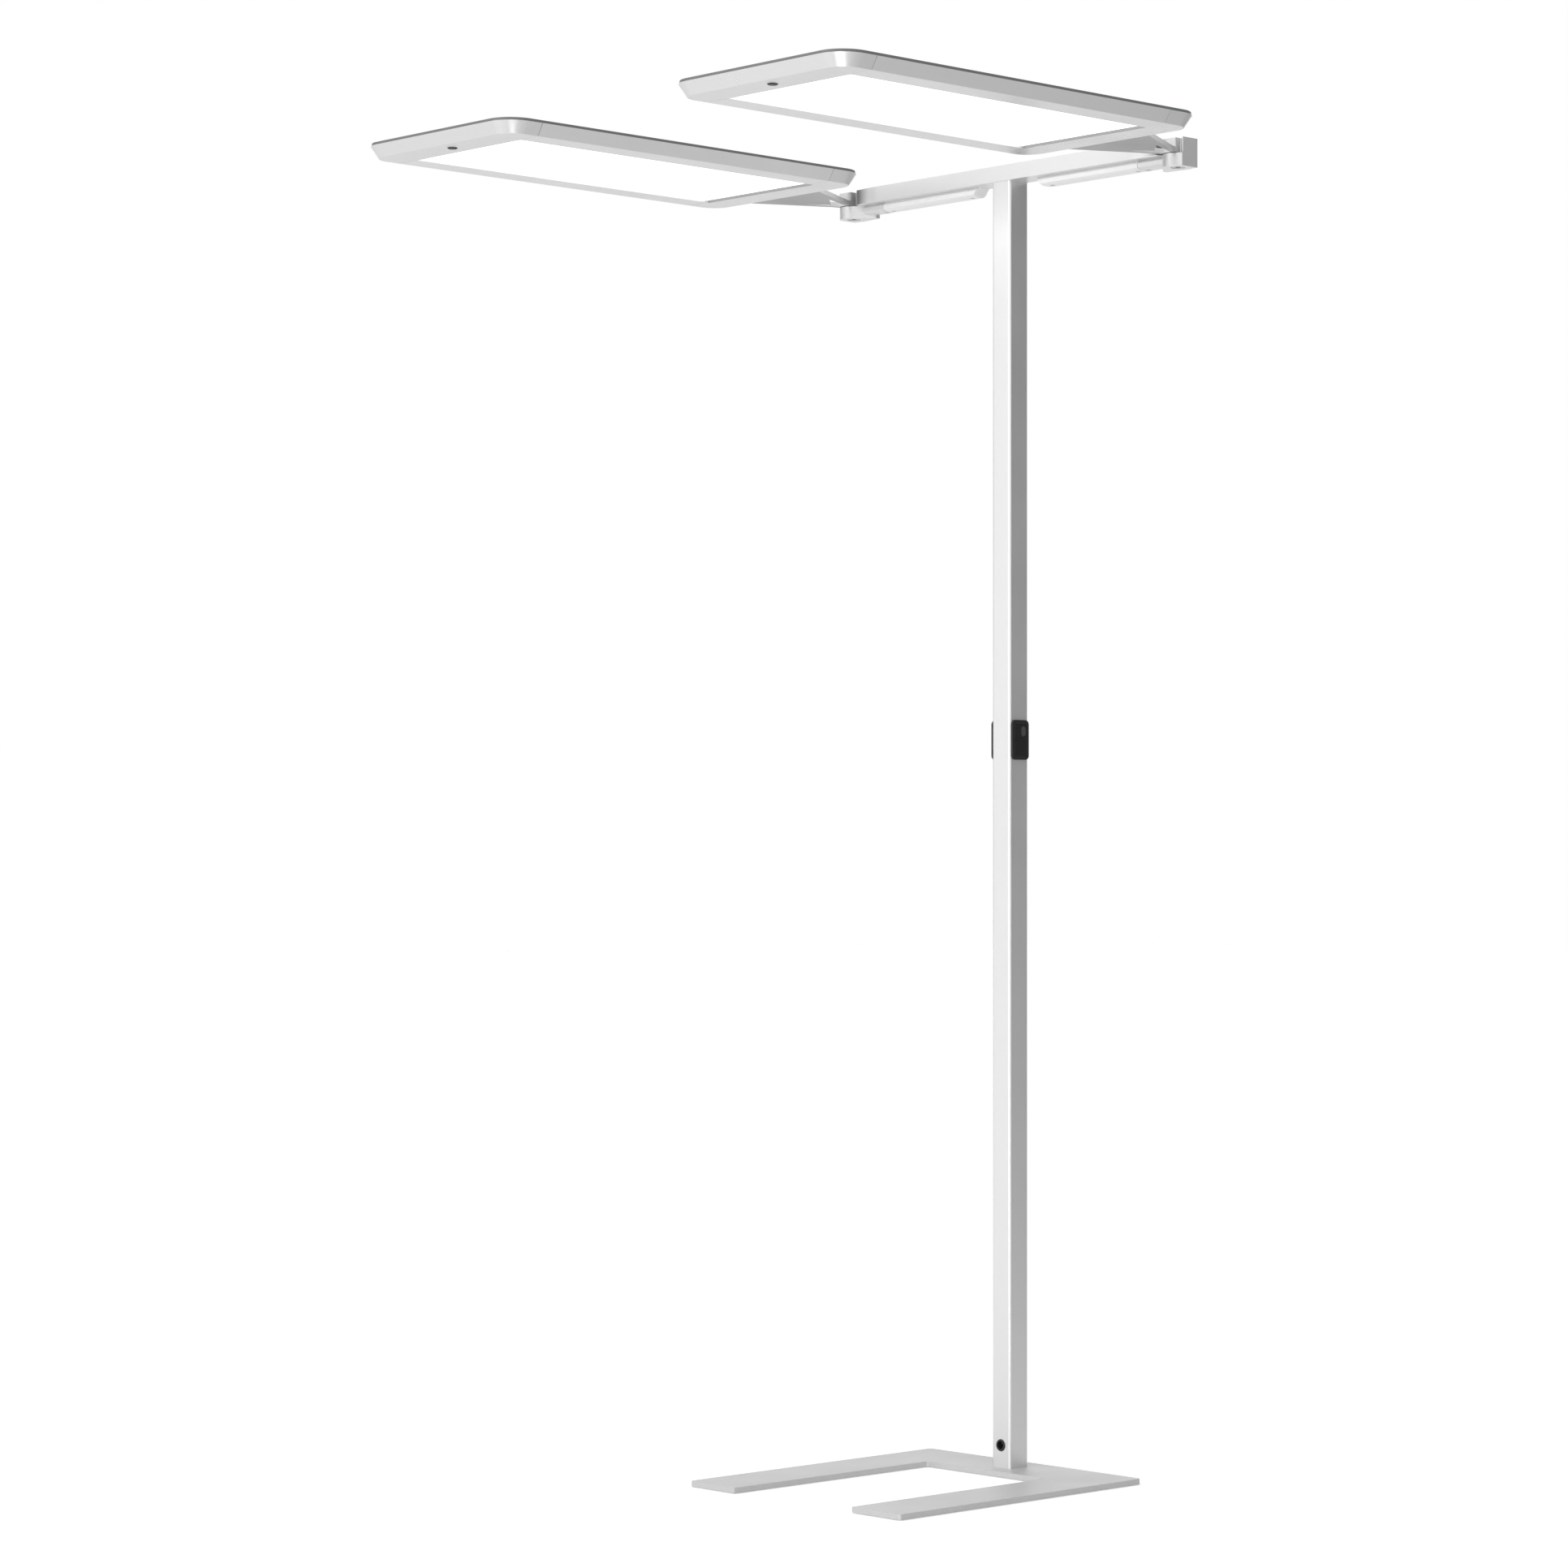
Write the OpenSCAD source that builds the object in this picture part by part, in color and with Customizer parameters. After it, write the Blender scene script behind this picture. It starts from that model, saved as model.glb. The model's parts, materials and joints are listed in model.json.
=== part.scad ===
// Office floor lamp: a U-shaped steel foot, a square pole, a crossbar and two
// flat lighting heads that swivel on upright hinges at the ends of the bar.
// Millimetres, +Z up. The origin is on the floor under the axis of the pole,
// +X runs along the crossbar and the heads reach forward along -Y.

/* [Base] */
// Width of the base across both arms
base_w = 446; // [400:1:520]
// Distance from the pole axis to the tips of the arms
arm_reach = 429; // [400:1:460]
// Distance from the pole axis to the back edge
back_reach = 48; // [44:1:70]
// Width of each arm
arm_w = 98; // [70:1:110]
// Depth of the bar that joins the arms at the back
rear_bar_d = 98; // [86:1:104]
// Thickness of the steel plate
plate_t = 8; // [6:0.5:12]
// Corner radius of the plate
base_corner_r = 5; // [2:0.5:12]
// Radius of the floor pads near the edges
pad_r = 12; // [8:1:16]
// Thickness of the floor pads
pad_t = 2.2; // [1.6:0.1:3]
// How far the pads stand below the plate
pad_proud = 1; // [0.5:0.1:1.4]

/* [Pole] */
// Side of the square pole
pole_w = 38; // [37:0.5:42]
// Wall of the pole
pole_wall = 2.5; // [2:0.1:3]
// Outer corner radius of the pole
pole_corner_r = 4; // [3:0.1:5]
// Length of the pole
pole_len = 1902; // [1600:1:2000]
// Height of the block in the foot of the pole
foot_block_h = 24; // [20:1:24]
// Height of the block in the top of the pole
top_block_h = 40; // [34:1:60]
// Height of the power inlet above the base plate
inlet_rise = 33; // [33:1:70]
// Radius of the inlet flange
inlet_flange_r = 9; // [8.5:0.1:10]
// Radius of the inlet barrel
inlet_barrel_r = 7.9; // [7.6:0.1:8.2]
// Radius of the inlet cavity
inlet_cavity_r = 6; // [5.5:0.1:6.4]
// Length of the inlet barrel behind the flange
inlet_barrel_len = 17; // [15:0.5:18]
// Depth of the inlet cavity from the face of the flange
inlet_cavity_depth = 13.5; // [12:0.5:15]
// Depth of the wide mouth of the inlet cavity, in front of its pins
inlet_mouth_depth = 6; // [4:0.5:6]

/* [Control panels] */
// Height of the middle of the control panels above the floor
panel_z = 1085; // [950:1:1200]
// Width of a control panel
panel_w = 34; // [33:0.5:36]
// Height of a control panel
panel_h = 58.5; // [57:0.5:64]
// How far a control panel stands out of the pole
panel_t = 3.5; // [3.3:0.1:5]
// Corner radius of a control panel
panel_corner_r = 6.5; // [4:0.5:8]
// Width of a key
key_w = 23.5; // [20:0.5:24]
// Height of a key
key_h = 22; // [18:0.5:22.2]
// Travel of a key
key_travel = 0.8; // [0.5:0.1:1]

/* [Crossbar] */
// Depth of the crossbar, front to back
bar_d = 40; // [39:0.5:46]
// Distance from the pole axis to the front face of the crossbar
bar_front = 21; // [20:0.5:23]
// Height of the crossbar
bar_h = 23; // [22:0.5:28]
// Wall of the crossbar
bar_wall = 2.5; // [2:0.1:3]
// Distance from a hinge axis to the end of the crossbar
bar_to_hinge = 59; // [58:1:72]
// Length of the spigot of a hinge housing inside the crossbar
spigot_len = 28; // [24:1:36]

/* [Driver housings] */
// Distance from the pole axis to the inner end of a driver housing
housing_x0 = 62; // [50:1:80]
// Gap between the outer end of a driver housing and the hinge housing
housing_end_gap = 1; // [0.5:0.5:6]
// Height of a driver housing
housing_h = 13; // [13:0.5:17]
// Wall of a driver housing
housing_wall = 2; // [1.5:0.1:2.4]
// Slant of the inner end of a driver housing
housing_slant = 10; // [2:1:12]

/* [Hinges] */
// Distance from the pole axis to a hinge axis, along the crossbar
hinge_x = 343; // [343:1:360]
// Radius of the drum under a hinge
drum_r = 22; // [19:0.5:23]
// Height of the drum under a hinge
drum_h = 18; // [16:0.5:20]
// Radius of the turning hub
hub_r = 16; // [15.4:0.1:16.2]
// Radius of the pivot bolt
pivot_r = 6; // [5:0.1:6.5]
// Wall of the pivot bush
bush_wall = 2; // [1.5:0.1:2.4]
// Radial running clearance between the pivot bolt and its bush
pivot_clearance = 0.05; // [0.02:0.01:0.09]
// Reach of the hub recess towards the pole, at the front face of the crossbar
recess_front = 26; // [25.6:0.1:27]
// Thickness of the end wall beside the hub recess
end_wall = 2; // [1.5:0.1:3]
// Half width of the neck at the hinge axis
neck_waist = 9; // [8:0.5:10]
// Half width of the flat face at the front of the hub
hub_block_half = 13; // [12:0.5:13.5]
// Half width of the root of the neck
neck_root = 18; // [15:0.5:18]
// Half width of the neck where it enters the head
neck_half = 72; // [66:1:80]
// Thickness of the struts of the neck
neck_t = 7; // [6:0.5:9]
// Thickness of the tongue of the neck inside the head
tongue_t = 4; // [3.5:0.5:6]
// Width of a strut of the neck, across the head
strut_w = 11; // [9:0.5:14]
// Half width of the window of the neck at its end beside the hub
window_tip_half = 8; // [6:0.5:9]
// Half width of the window of the neck at its wide end
window_wide_half = 34; // [28:1:36]
// Length of the window of the neck
neck_window_len = 58; // [54:1:62]

/* [Lighting heads] */
// Width of a head at its widest line
head_w = 346; // [340:1:360]
// Distance from the pole axis to the rear of a head
head_rear = 131; // [125:0.5:140]
// Distance from the pole axis to the front of a head
head_front = 800; // [700:1:860]
// Height of the aluminium frame of a head
frame_h = 17; // [16.8:0.1:20]
// How far the sides of the frame slope inwards
frame_inset = 11.5; // [10:0.5:13]
// Thickness of the frame wall
frame_wall = 2.5; // [2:0.1:2.8]
// Corner radius of a head at its widest line
head_corner_r = 40; // [34:1:42]
// Width of the frame border beside the light opening
side_border = 42; // [38:1:46]
// Width of the frame border in front of the light opening
front_border = 52; // [48:1:70]
// Width of the frame border behind the light opening
rear_border = 48; // [40:0.5:54]
// Length of the front cap
front_cap_len = 61; // [60:0.5:64]
// Length of the rear cap
rear_cap_len = 66; // [62:0.5:70]
// Height of the dark top cover over the frame
cover_h = 4; // [3:0.1:6]
// Inset of the top cover from the widest line
cover_inset = 1.5; // [0.5:0.1:2]
// Width of the rim of the top cover
cover_rim = 3; // [2.4:0.1:4]
// Width of an uplight window
window_w = 60; // [40:1:70]
// Distance from the front seam to an uplight window
window_gap_front = 33; // [26:1:40]
// Distance from the rear seam to an uplight window
window_gap_rear = 94; // [88:1:110]
// Distance from the light opening forward to the presence sensor
sensor_gap = 28; // [24:0.5:30]
// Thickness of the diffuser
diffuser_t = 2; // [1.5:0.1:2.5]
// Thickness of the reflector
reflector_t = 0.5; // [0.3:0.1:0.8]
// Thickness of the carrier plate
carrier_t = 2; // [1.5:0.1:2.5]
// Radius of the presence sensor lens
sensor_r = 7.5; // [5:0.5:9]

/* [Hidden] */

$fn = 48;

// Colours
steel_paint = [0.80, 0.80, 0.80];
satin_alu = [0.86, 0.86, 0.87];
bright_alu = [0.92, 0.92, 0.93];
black_plastic = [0.07, 0.07, 0.075];
dark_plastic = [0.25, 0.26, 0.27];
zinc = [0.70, 0.70, 0.68];
brass = [0.80, 0.65, 0.30];
board_green = [0.10, 0.35, 0.22];
white_board = [0.95, 0.95, 0.93];
opal = [1.0, 1.0, 1.0];
clear = [0.85, 0.90, 0.92, 0.6];

// Shared clearances
slip = 0.2;        // between a part and the pocket or tube that it slides into
screw_gap = 0.1;   // around the shank of a screw
run_gap = 0.1;     // between faces that turn on each other
over = 1;          // how far a cut runs past the face that it opens

// Heights
plate_top = pad_proud + plate_t;
pole_top = plate_top + pole_len;
inlet_z = plate_top + inlet_rise;
bar_z0 = pole_top;
bar_z1 = bar_z0 + bar_h;
drum_z0 = bar_z0 - drum_h;
washer_t = 0.5;
hub_z0 = bar_z0 + washer_t + run_gap;
hub_z1 = bar_z1 - 1.5;
head_z0 = hub_z0;

// Crossbar and hinge places
bar_half = hinge_x - bar_to_hinge;
bar_back = bar_d - bar_front;
hinge_y = bar_d / 2 - bar_front;
hub_gap = 1.5;                          // around the hub in its recess
recess_r = hub_r + hub_gap;
housing_end_x = hinge_x + recess_r + end_wall;
end_wall_reach = 10;                    // how far the end wall runs forward of the hinge axis
tray_x0 = bar_half - 14;                // inner end of the block under the bar
fairing_len = 39;                       // from the hinge axis to the tip of the fairing beside the drum
fairing_w = 8;
fairing_sink = 0.2;
scoop_r = 380;                          // rounding of the bar beside the recess
scoop_len = 55;

// Fasteners: shank radius, head radius, head height
m3_r = 1.5;
m3_head_r = 2.8;
m3_head_h = 1.7;
m4_r = 2;
m4_head_r = 4;
m4_head_h = 2.2;
m5_r = 2.5;
m5_head_r = 5;
m5_head_h = 2.8;
m6_r = 3;
m6_head_r = 6;
m6_head_h = 3.3;

// Pole fittings
pole_in = pole_w - 2 * pole_wall;
block_w = pole_in - 2 * slip;
block_corner_r = 2;
base_screw_xy = 10;
pole_screw_dz = 6;
pole_screw_len = 11;
foot_screw_z = plate_top + foot_block_h / 2;
top_screw_z = pole_top - top_block_h / 2;
bar_screw_x = 10;
bar_screw_grip = 16;                    // length of a bar screw in the top block
bar_screw_head_h = 5;
cable_r = 3.5;
cable_hole_r = 4;
cable_y = inlet_barrel_len - pole_w / 2 + cable_r;
plug_r = 6.3;
plug_flange_r = 8;
plug_flange_t = 0.8;

// Control panel fittings
key_gap = 0.3;
key_lip = 1;                            // how far the hidden lip of a key reaches out
key_lip_t = 1;
key_bar = 2.4;                          // bar of the bezel between the two keys
key_off = key_h / 2 + key_bar / 2;
panel_x0 = pole_w / 2;
panel_x1 = panel_x0 + panel_t;
key_x0 = panel_x0 + 0.1;
slot_w = key_w + 2 * key_lip + 1;
tab_t = 1.5;
tab_z = 2 * key_off - key_bar / 2 + key_lip + 2 * key_gap;
slot_h = 2 * (tab_z + tab_t) + 0.8;
board_t = 1.6;
tab_len = 5;
dome_r = 4;
dome_gap = 0.3;                         // left between a dome and a key pressed home

// Driver housings
housing_x1 = tray_x0 - housing_end_gap;
housing_z0 = bar_z0 - housing_h;
housing_front = 8;
housing_back = bar_back - 2;
fairing_y = housing_back - fairing_w - hinge_y;
housing_chamfer = 3;                    // height of the bevel along its lower edges
housing_bevel = 7;                      // depth of the same bevel
housing_lean = 4;                       // the front leans back above its widest line
box_screw_x0 = housing_x0 + housing_slant + 13;
box_screw_x1 = housing_x1 - 10;
box_screw_y = (housing_back - housing_front) / 2;
boss_r = 4.5;
rib_h = 2;
coil_count = 4;                         // components on a driver board
coil_start = 24;
coil_pitch = 32;
coil_w = 16;
coil_head_gap = 1.5;

// Head, measured from the hinge in X and from the pole axis in Y
half_top = head_w / 2;
half_bottom = half_top - frame_inset;
open_half = half_bottom - side_border;
open_front = -head_front + frame_inset + front_border;
open_rear = -head_rear - frame_inset - rear_border;
seam_front = -head_front + front_cap_len;
seam_rear = -head_rear - rear_cap_len;
floor_t = frame_wall;
lip_w = 4;
lip_h = 4;
channel_w = 3.5;                        // channel for the light strip beside the lip
web_t = 2;
web_in = open_half + lip_w + channel_w;
web_front = open_front - lip_w - channel_w;
web_rear = open_rear + lip_w + channel_w;
web_top = 10.5;
groove_half = half_bottom + frame_inset * web_top / frame_h - frame_wall - 6.5;
groove_rib = 1.5;
carrier_half = groove_half + 3.8;
carrier_front = -head_front + frame_inset + 4.5;
carrier_rear = web_rear + web_t;
carrier_top = web_top + carrier_t;
carrier_corner_r = head_corner_r - 18;
guide_z0 = lip_h + diffuser_t;
guide_t = web_top - lip_h - diffuser_t - reflector_t;
cover_t = 2;
head_h = frame_h + cover_h;
cover_z0 = head_h - cover_t;
standoff_r = 3.5;
standoff_x = groove_half - 12;
standoff_rear_gap = 34;
standoff_front_gap = 7;
standoff_ys = [seam_rear - standoff_rear_gap, (seam_front + seam_rear) / 2, seam_front - standoff_front_gap];
window_x = 80;
uplight_board_w = 24;
window_front = seam_front + window_gap_front;
window_rear = seam_rear - window_gap_rear;
window_corner_r = 8;
lens_flange = 3;
lens_flange_t = 1.5;
sensor_y = open_front - sensor_gap;
guide_screw_x = -(open_half - 8.5);     // on the side of the pole
guide_screw_y = web_front - web_t;
guide_screw_len = 8;
guide_boss_r = 2.9;
joint_plate_x = web_in + web_t + 5;
joint_plate_w = 22;
joint_plate_half = 22;
joint_plate_t = 3;
joint_screw_y = 12;

// Neck. Its tongue runs through a slot in the rear cap, steps up behind the
// carrier plate and ends in a flange that is screwed down on that plate.
step_front = carrier_rear + slip;
step_back = step_front + 5;
neck_flange_t = 4;
neck_flange_half = 60;
neck_flange_len = 58;
neck_screw_x = 40;
neck_screw_ys = [18, 45];               // from the step, towards the front
neck_start_y = -bar_front - 9;
neck_web_t = 3;
neck_window_y = neck_start_y + 5;       // end of the window beside the hub

// Which side a name belongs to
function side_of(s) = s == "left" ? -1 : 1;

// ---------------------------------------------------------------- helpers

module place(side) {
    if (side < 0) mirror([1, 0, 0]) children();
    else children();
}

// Flat rounded rectangle between two corners
module rounded_rect(x0, y0, x1, y1, r) {
    translate([x0 + r, y0]) square([x1 - x0 - 2 * r, y1 - y0]);
    translate([x0, y0 + r]) square([x1 - x0, y1 - y0 - 2 * r]);
    for (x = [x0 + r, x1 - r]) for (y = [y0 + r, y1 - r]) translate([x, y]) circle(r);
}

module rounded_plate(x0, y0, x1, y1, r, z, h) {
    translate([0, 0, z]) linear_extrude(h) rounded_rect(x0, y0, x1, y1, r);
}

module box(x0, y0, z0, x1, y1, z1) {
    translate([x0, y0, z0]) cube([x1 - x0, y1 - y0, z1 - z0]);
}

// Countersunk screw, pointing up, its flat head face at z = 0
module csk_screw(r, head_r, head_h, len) {
    cylinder(h = head_h, r1 = head_r, r2 = r);
    cylinder(h = len, r = r);
}

module csk_hole(r, head_r, head_h, len) {
    translate([0, 0, -over]) cylinder(h = over + screw_gap, r = head_r + screw_gap);
    translate([0, 0, screw_gap])
        cylinder(h = head_h, r1 = head_r + screw_gap, r2 = r + screw_gap);
    cylinder(h = len, r = r + screw_gap);
}

// Box whose sides slope outwards going up, with conical corners
module tapered_box(half, y0, y1, inset, r_top, h) {
    cx = half - r_top;
    translate([0, y1 - r_top, 0]) rotate([90, 0, 0])
        linear_extrude(y1 - y0 - 2 * r_top)
            polygon([[-(half - inset), 0], [half - inset, 0], [half, h], [-half, h]]);
    translate([-cx, 0, 0]) rotate([90, 0, 90])
        linear_extrude(2 * cx)
            polygon([[y0 + inset, 0], [y1 - inset, 0], [y1, h], [y0, h]]);
    for (x = [-cx, cx]) for (y = [y0 + r_top, y1 - r_top])
        translate([x, y, 0]) cylinder(h = h, r1 = r_top - inset, r2 = r_top);
}

// ---------------------------------------------------------------- base

pad_places = [
    for (s = [-1, 1]) each [
        [s * (base_w / 2 - arm_w / 2), -arm_reach + 18],
        [s * (base_w / 2 - arm_w / 2), -arm_reach / 2],
        [s * (base_w / 2 - 20), back_reach - 20]
    ]
];
centre_pad_r = 5;

module base_outline() {
    difference() {
        rounded_rect(-base_w / 2, -arm_reach, base_w / 2, back_reach, base_corner_r);
        rounded_rect(-base_w / 2 + arm_w, -arm_reach - 2 * base_corner_r,
                     base_w / 2 - arm_w, back_reach - rear_bar_d, base_corner_r);
    }
}

module base_screw_places() {
    for (x = [-base_screw_xy, base_screw_xy]) for (y = [-base_screw_xy, base_screw_xy])
        translate([x, y, pad_proud]) children();
}

module base_plate() {
    color(steel_paint) difference() {
        translate([0, 0, pad_proud]) linear_extrude(plate_t) base_outline();
        for (p = pad_places) translate([p[0], p[1], 0]) cylinder(h = pad_t, r = pad_r + slip);
        cylinder(h = pad_t, r = centre_pad_r + slip);
        base_screw_places() csk_hole(m6_r, m6_head_r, m6_head_h, plate_t + over);
    }
}

module floor_pads() {
    color(dark_plastic) {
        for (p = pad_places) translate([p[0], p[1], 0]) cylinder(h = pad_t, r = pad_r);
        cylinder(h = pad_t, r = centre_pad_r);
    }
}

base_screw_len = plate_t + foot_block_h - 4;

module base_screws() {
    color(zinc) base_screw_places() difference() {
        csk_screw(m6_r, m6_head_r, m6_head_h, base_screw_len);
        translate([0, 0, -over]) cylinder(h = over + 2.2, r = 2.3, $fn = 6);
    }
}

// ---------------------------------------------------------------- pole

module pole_block(z, h) {
    rounded_plate(-block_w / 2, -block_w / 2, block_w / 2, block_w / 2, block_corner_r, z, h);
}

// Places of the screws through the back of the pole, along -Y from the outside
module pole_screw_places(z) {
    for (dz = [-pole_screw_dz, pole_screw_dz])
        translate([0, pole_w / 2, z + dz]) rotate([90, 0, 0]) children();
}

module foot_block() {
    color(zinc) difference() {
        pole_block(plate_top, foot_block_h);
        base_screw_places() cylinder(h = base_screw_len + 1, r = m6_r + screw_gap);
        pole_screw_places(foot_screw_z) cylinder(h = pole_screw_len + 1, r = m4_r + screw_gap);
    }
}

module pole() {
    color(satin_alu) difference() {
        rounded_plate(-pole_w / 2, -pole_w / 2, pole_w / 2, pole_w / 2, pole_corner_r,
                      plate_top, pole_len);
        rounded_plate(-pole_in / 2, -pole_in / 2, pole_in / 2, pole_in / 2,
                      pole_corner_r - pole_wall, plate_top - over, pole_len + 2 * over);
        translate([0, -pole_w / 2 - over, inlet_z]) rotate([-90, 0, 0])
            cylinder(h = pole_wall + 2 * over, r = inlet_barrel_r + slip);
        for (s = [-1, 1]) box(s > 0 ? panel_x0 - pole_wall - over : -panel_x0 - over,
            -slot_w / 2, panel_z - slot_h / 2,
            s > 0 ? panel_x0 + over : -panel_x0 + pole_wall + over,
            slot_w / 2, panel_z + slot_h / 2);
        for (z = [foot_screw_z, top_screw_z])
            pole_screw_places(z) csk_hole(m4_r, m4_head_r, m4_head_h, pole_wall + over);
    }
}

module pole_screws() {
    color(zinc) for (z = [foot_screw_z, top_screw_z]) pole_screw_places(z) difference() {
        csk_screw(m4_r, m4_head_r, m4_head_h, pole_screw_len);
        translate([0, 0, -over]) cylinder(h = over + 1.6, r = 1.5, $fn = 6);
    }
}

module along_inlet() {
    translate([0, -pole_w / 2, inlet_z]) rotate([-90, 0, 0]) children();
}

inlet_flange_t = 1.5;
inlet_step = 0.5;
inlet_pin_r = 1;
inlet_pin_ring_r = inlet_cavity_r - 2.5;
inlet_pin_len = 7;

module inlet_socket() {
    color(black_plastic) along_inlet() difference() {
        union() {
            translate([0, 0, -inlet_flange_t])
                cylinder(h = inlet_flange_t, r1 = inlet_flange_r - 0.6, r2 = inlet_flange_r);
            cylinder(h = inlet_barrel_len, r = inlet_barrel_r);
        }
        translate([0, 0, -inlet_flange_t - over])
            cylinder(h = inlet_mouth_depth + over, r = inlet_cavity_r);
        translate([0, 0, -inlet_flange_t])
            cylinder(h = inlet_cavity_depth, r = inlet_cavity_r - inlet_step);
    }
}

module inlet_pins() {
    color(brass) along_inlet() for (a = [90, 210, 330])
        rotate([0, 0, a])
            translate([inlet_pin_ring_r, 0, inlet_cavity_depth - inlet_flange_t - inlet_pin_len])
                cylinder(h = inlet_pin_len, r = inlet_pin_r);
}

module pole_cable() {
    color(black_plastic) translate([0, cable_y, inlet_z - cable_r])
        cylinder(h = pole_top + bar_h / 2 - inlet_z + cable_r, r = cable_r);
}

module bar_screw_places() {
    for (x = [-bar_screw_x, bar_screw_x]) translate([x, 0, 0]) children();
}

module top_block() {
    color(zinc) difference() {
        pole_block(pole_top - top_block_h, top_block_h);
        translate([0, cable_y, pole_top - top_block_h - over])
            cylinder(h = top_block_h + 2 * over, r = cable_hole_r);
        bar_screw_places() translate([0, 0, pole_top - bar_screw_grip - 1])
            cylinder(h = bar_screw_grip + 1 + over, r = m6_r + screw_gap);
        pole_screw_places(top_screw_z) cylinder(h = pole_screw_len + 1, r = m4_r + screw_gap);
    }
}

// ---------------------------------------------------------------- crossbar

hinge_screw_x = bar_half - 7;
hinge_screw_y = hinge_y + 9;

module scoop_cut() {
    x0 = hinge_x - recess_front - scoop_len;
    translate([x0, -bar_front - over, bar_z0 - over]) difference() {
        cube([scoop_len + over, scoop_r + over, bar_h + 2 * over]);
        translate([0, scoop_r + over, -over]) cylinder(h = bar_h + 4 * over, r = scoop_r, $fn = 96);
        translate([0, scoop_r / 3, -over]) cube([scoop_len + 2 * over, scoop_r, bar_h + 4 * over]);
    }
}

module bar_profile(x0, x1, gap) {
    box(x0, -bar_front + gap, bar_z0 + gap, x1, bar_back - gap, bar_z1 - gap);
}

module crossbar() {
    color(satin_alu) difference() {
        bar_profile(-bar_half, bar_half, 0);
        bar_profile(-bar_half - over, bar_half + over, bar_wall);
        bar_screw_places() {
            translate([0, 0, bar_z0 - over]) cylinder(h = bar_wall + 2 * over, r = m6_r + screw_gap);
            translate([0, 0, bar_z1 - bar_wall - over]) cylinder(h = bar_wall + 2 * over, r = plug_r + slip);
        }
        translate([0, cable_y, bar_z0 - over]) cylinder(h = bar_wall + 2 * over, r = cable_hole_r);
        for (s = [-1, 1]) place(s) {
            scoop_cut();
            for (x = [box_screw_x0, box_screw_x1]) translate([x, box_screw_y, bar_z0 - over])
                cylinder(h = bar_wall + 2 * over, r = m4_r + screw_gap);
            translate([(box_screw_x0 + box_screw_x1) / 2, box_screw_y, bar_z0 - over])
                cylinder(h = bar_wall + 2 * over, r = cable_hole_r);
            translate([hinge_screw_x, hinge_screw_y, bar_z0 - over])
                cylinder(h = bar_wall + 2 * over, r = m5_r + screw_gap);
        }
    }
}

module bar_screws() {
    color(zinc) bar_screw_places() difference() {
        union() {
            translate([0, 0, pole_top - bar_screw_grip])
                cylinder(h = bar_screw_grip + bar_wall, r = m6_r);
            translate([0, 0, pole_top + bar_wall]) cylinder(h = bar_screw_head_h, r = 5);
        }
        translate([0, 0, pole_top + bar_wall + bar_screw_head_h - 3])
            cylinder(h = 3 + over, r = 2.9, $fn = 6);
    }
}

module bar_plugs() {
    color(satin_alu) bar_screw_places() {
        translate([0, 0, bar_z1 - bar_wall]) cylinder(h = bar_wall, r = plug_r);
        translate([0, 0, bar_z1]) cylinder(h = plug_flange_t, r1 = plug_flange_r, r2 = plug_flange_r - 0.5);
    }
}

bolt_head_r = 9.5;
bolt_head_h = 4.8;
bolt_pocket_h = bolt_head_h + 1.7;
bush_flange_r = 10;
bush_flange_t = 1;
bush_r = pivot_r + pivot_clearance + bush_wall;
hinge_screw_len = housing_h + bar_h / 2 + 3;

// Place beside the hinge axis where a line from (dx, dy) meets the drum and hardly cuts into it
function drum_touch(dx, dy, turn) =
    (drum_r - fairing_sink) * [
        cos(atan2(dy, dx) + turn * acos(drum_r / norm([dx, dy]))),
        sin(atan2(dy, dx) + turn * acos(drum_r / norm([dx, dy])))
    ];

// Round in front, square at the rear, cut flat at the end of the bar, with a fairing towards the pole
module housing_end_outline() {
    intersection() {
        union() {
            translate([hinge_x, hinge_y]) circle(drum_r, $fn = 96);
            translate([hinge_x, hinge_y]) square([drum_r, bar_back - hinge_y]);
            translate([hinge_x, hinge_y]) polygon([
                [0, 0], drum_touch(-fairing_len, fairing_y, 1),
                [-fairing_len, fairing_y], [-fairing_len, fairing_y + fairing_w],
                drum_touch(-fairing_len, fairing_y + fairing_w, -1)
            ]);
        }
        translate([hinge_x - fairing_len - over, hinge_y - drum_r - over])
            square([housing_end_x - hinge_x + fairing_len + over, 2 * (drum_r + over)]);
    }
}

// Space in which the hub and the root of the neck turn
module hub_recess() {
    front_y = -bar_front - 3 * over;
    wall_y = hinge_y - end_wall_reach;
    translate([hinge_x, hinge_y]) circle(recess_r, $fn = 96);
    polygon([[hinge_x - recess_r, hinge_y], [hinge_x + recess_r, hinge_y],
             [hinge_x + recess_r, wall_y], [hinge_x + drum_r + over, wall_y],
             [hinge_x + drum_r + over, front_y], [hinge_x - recess_front, front_y],
             [hinge_x - recess_front, -bar_front]]);
}

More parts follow.
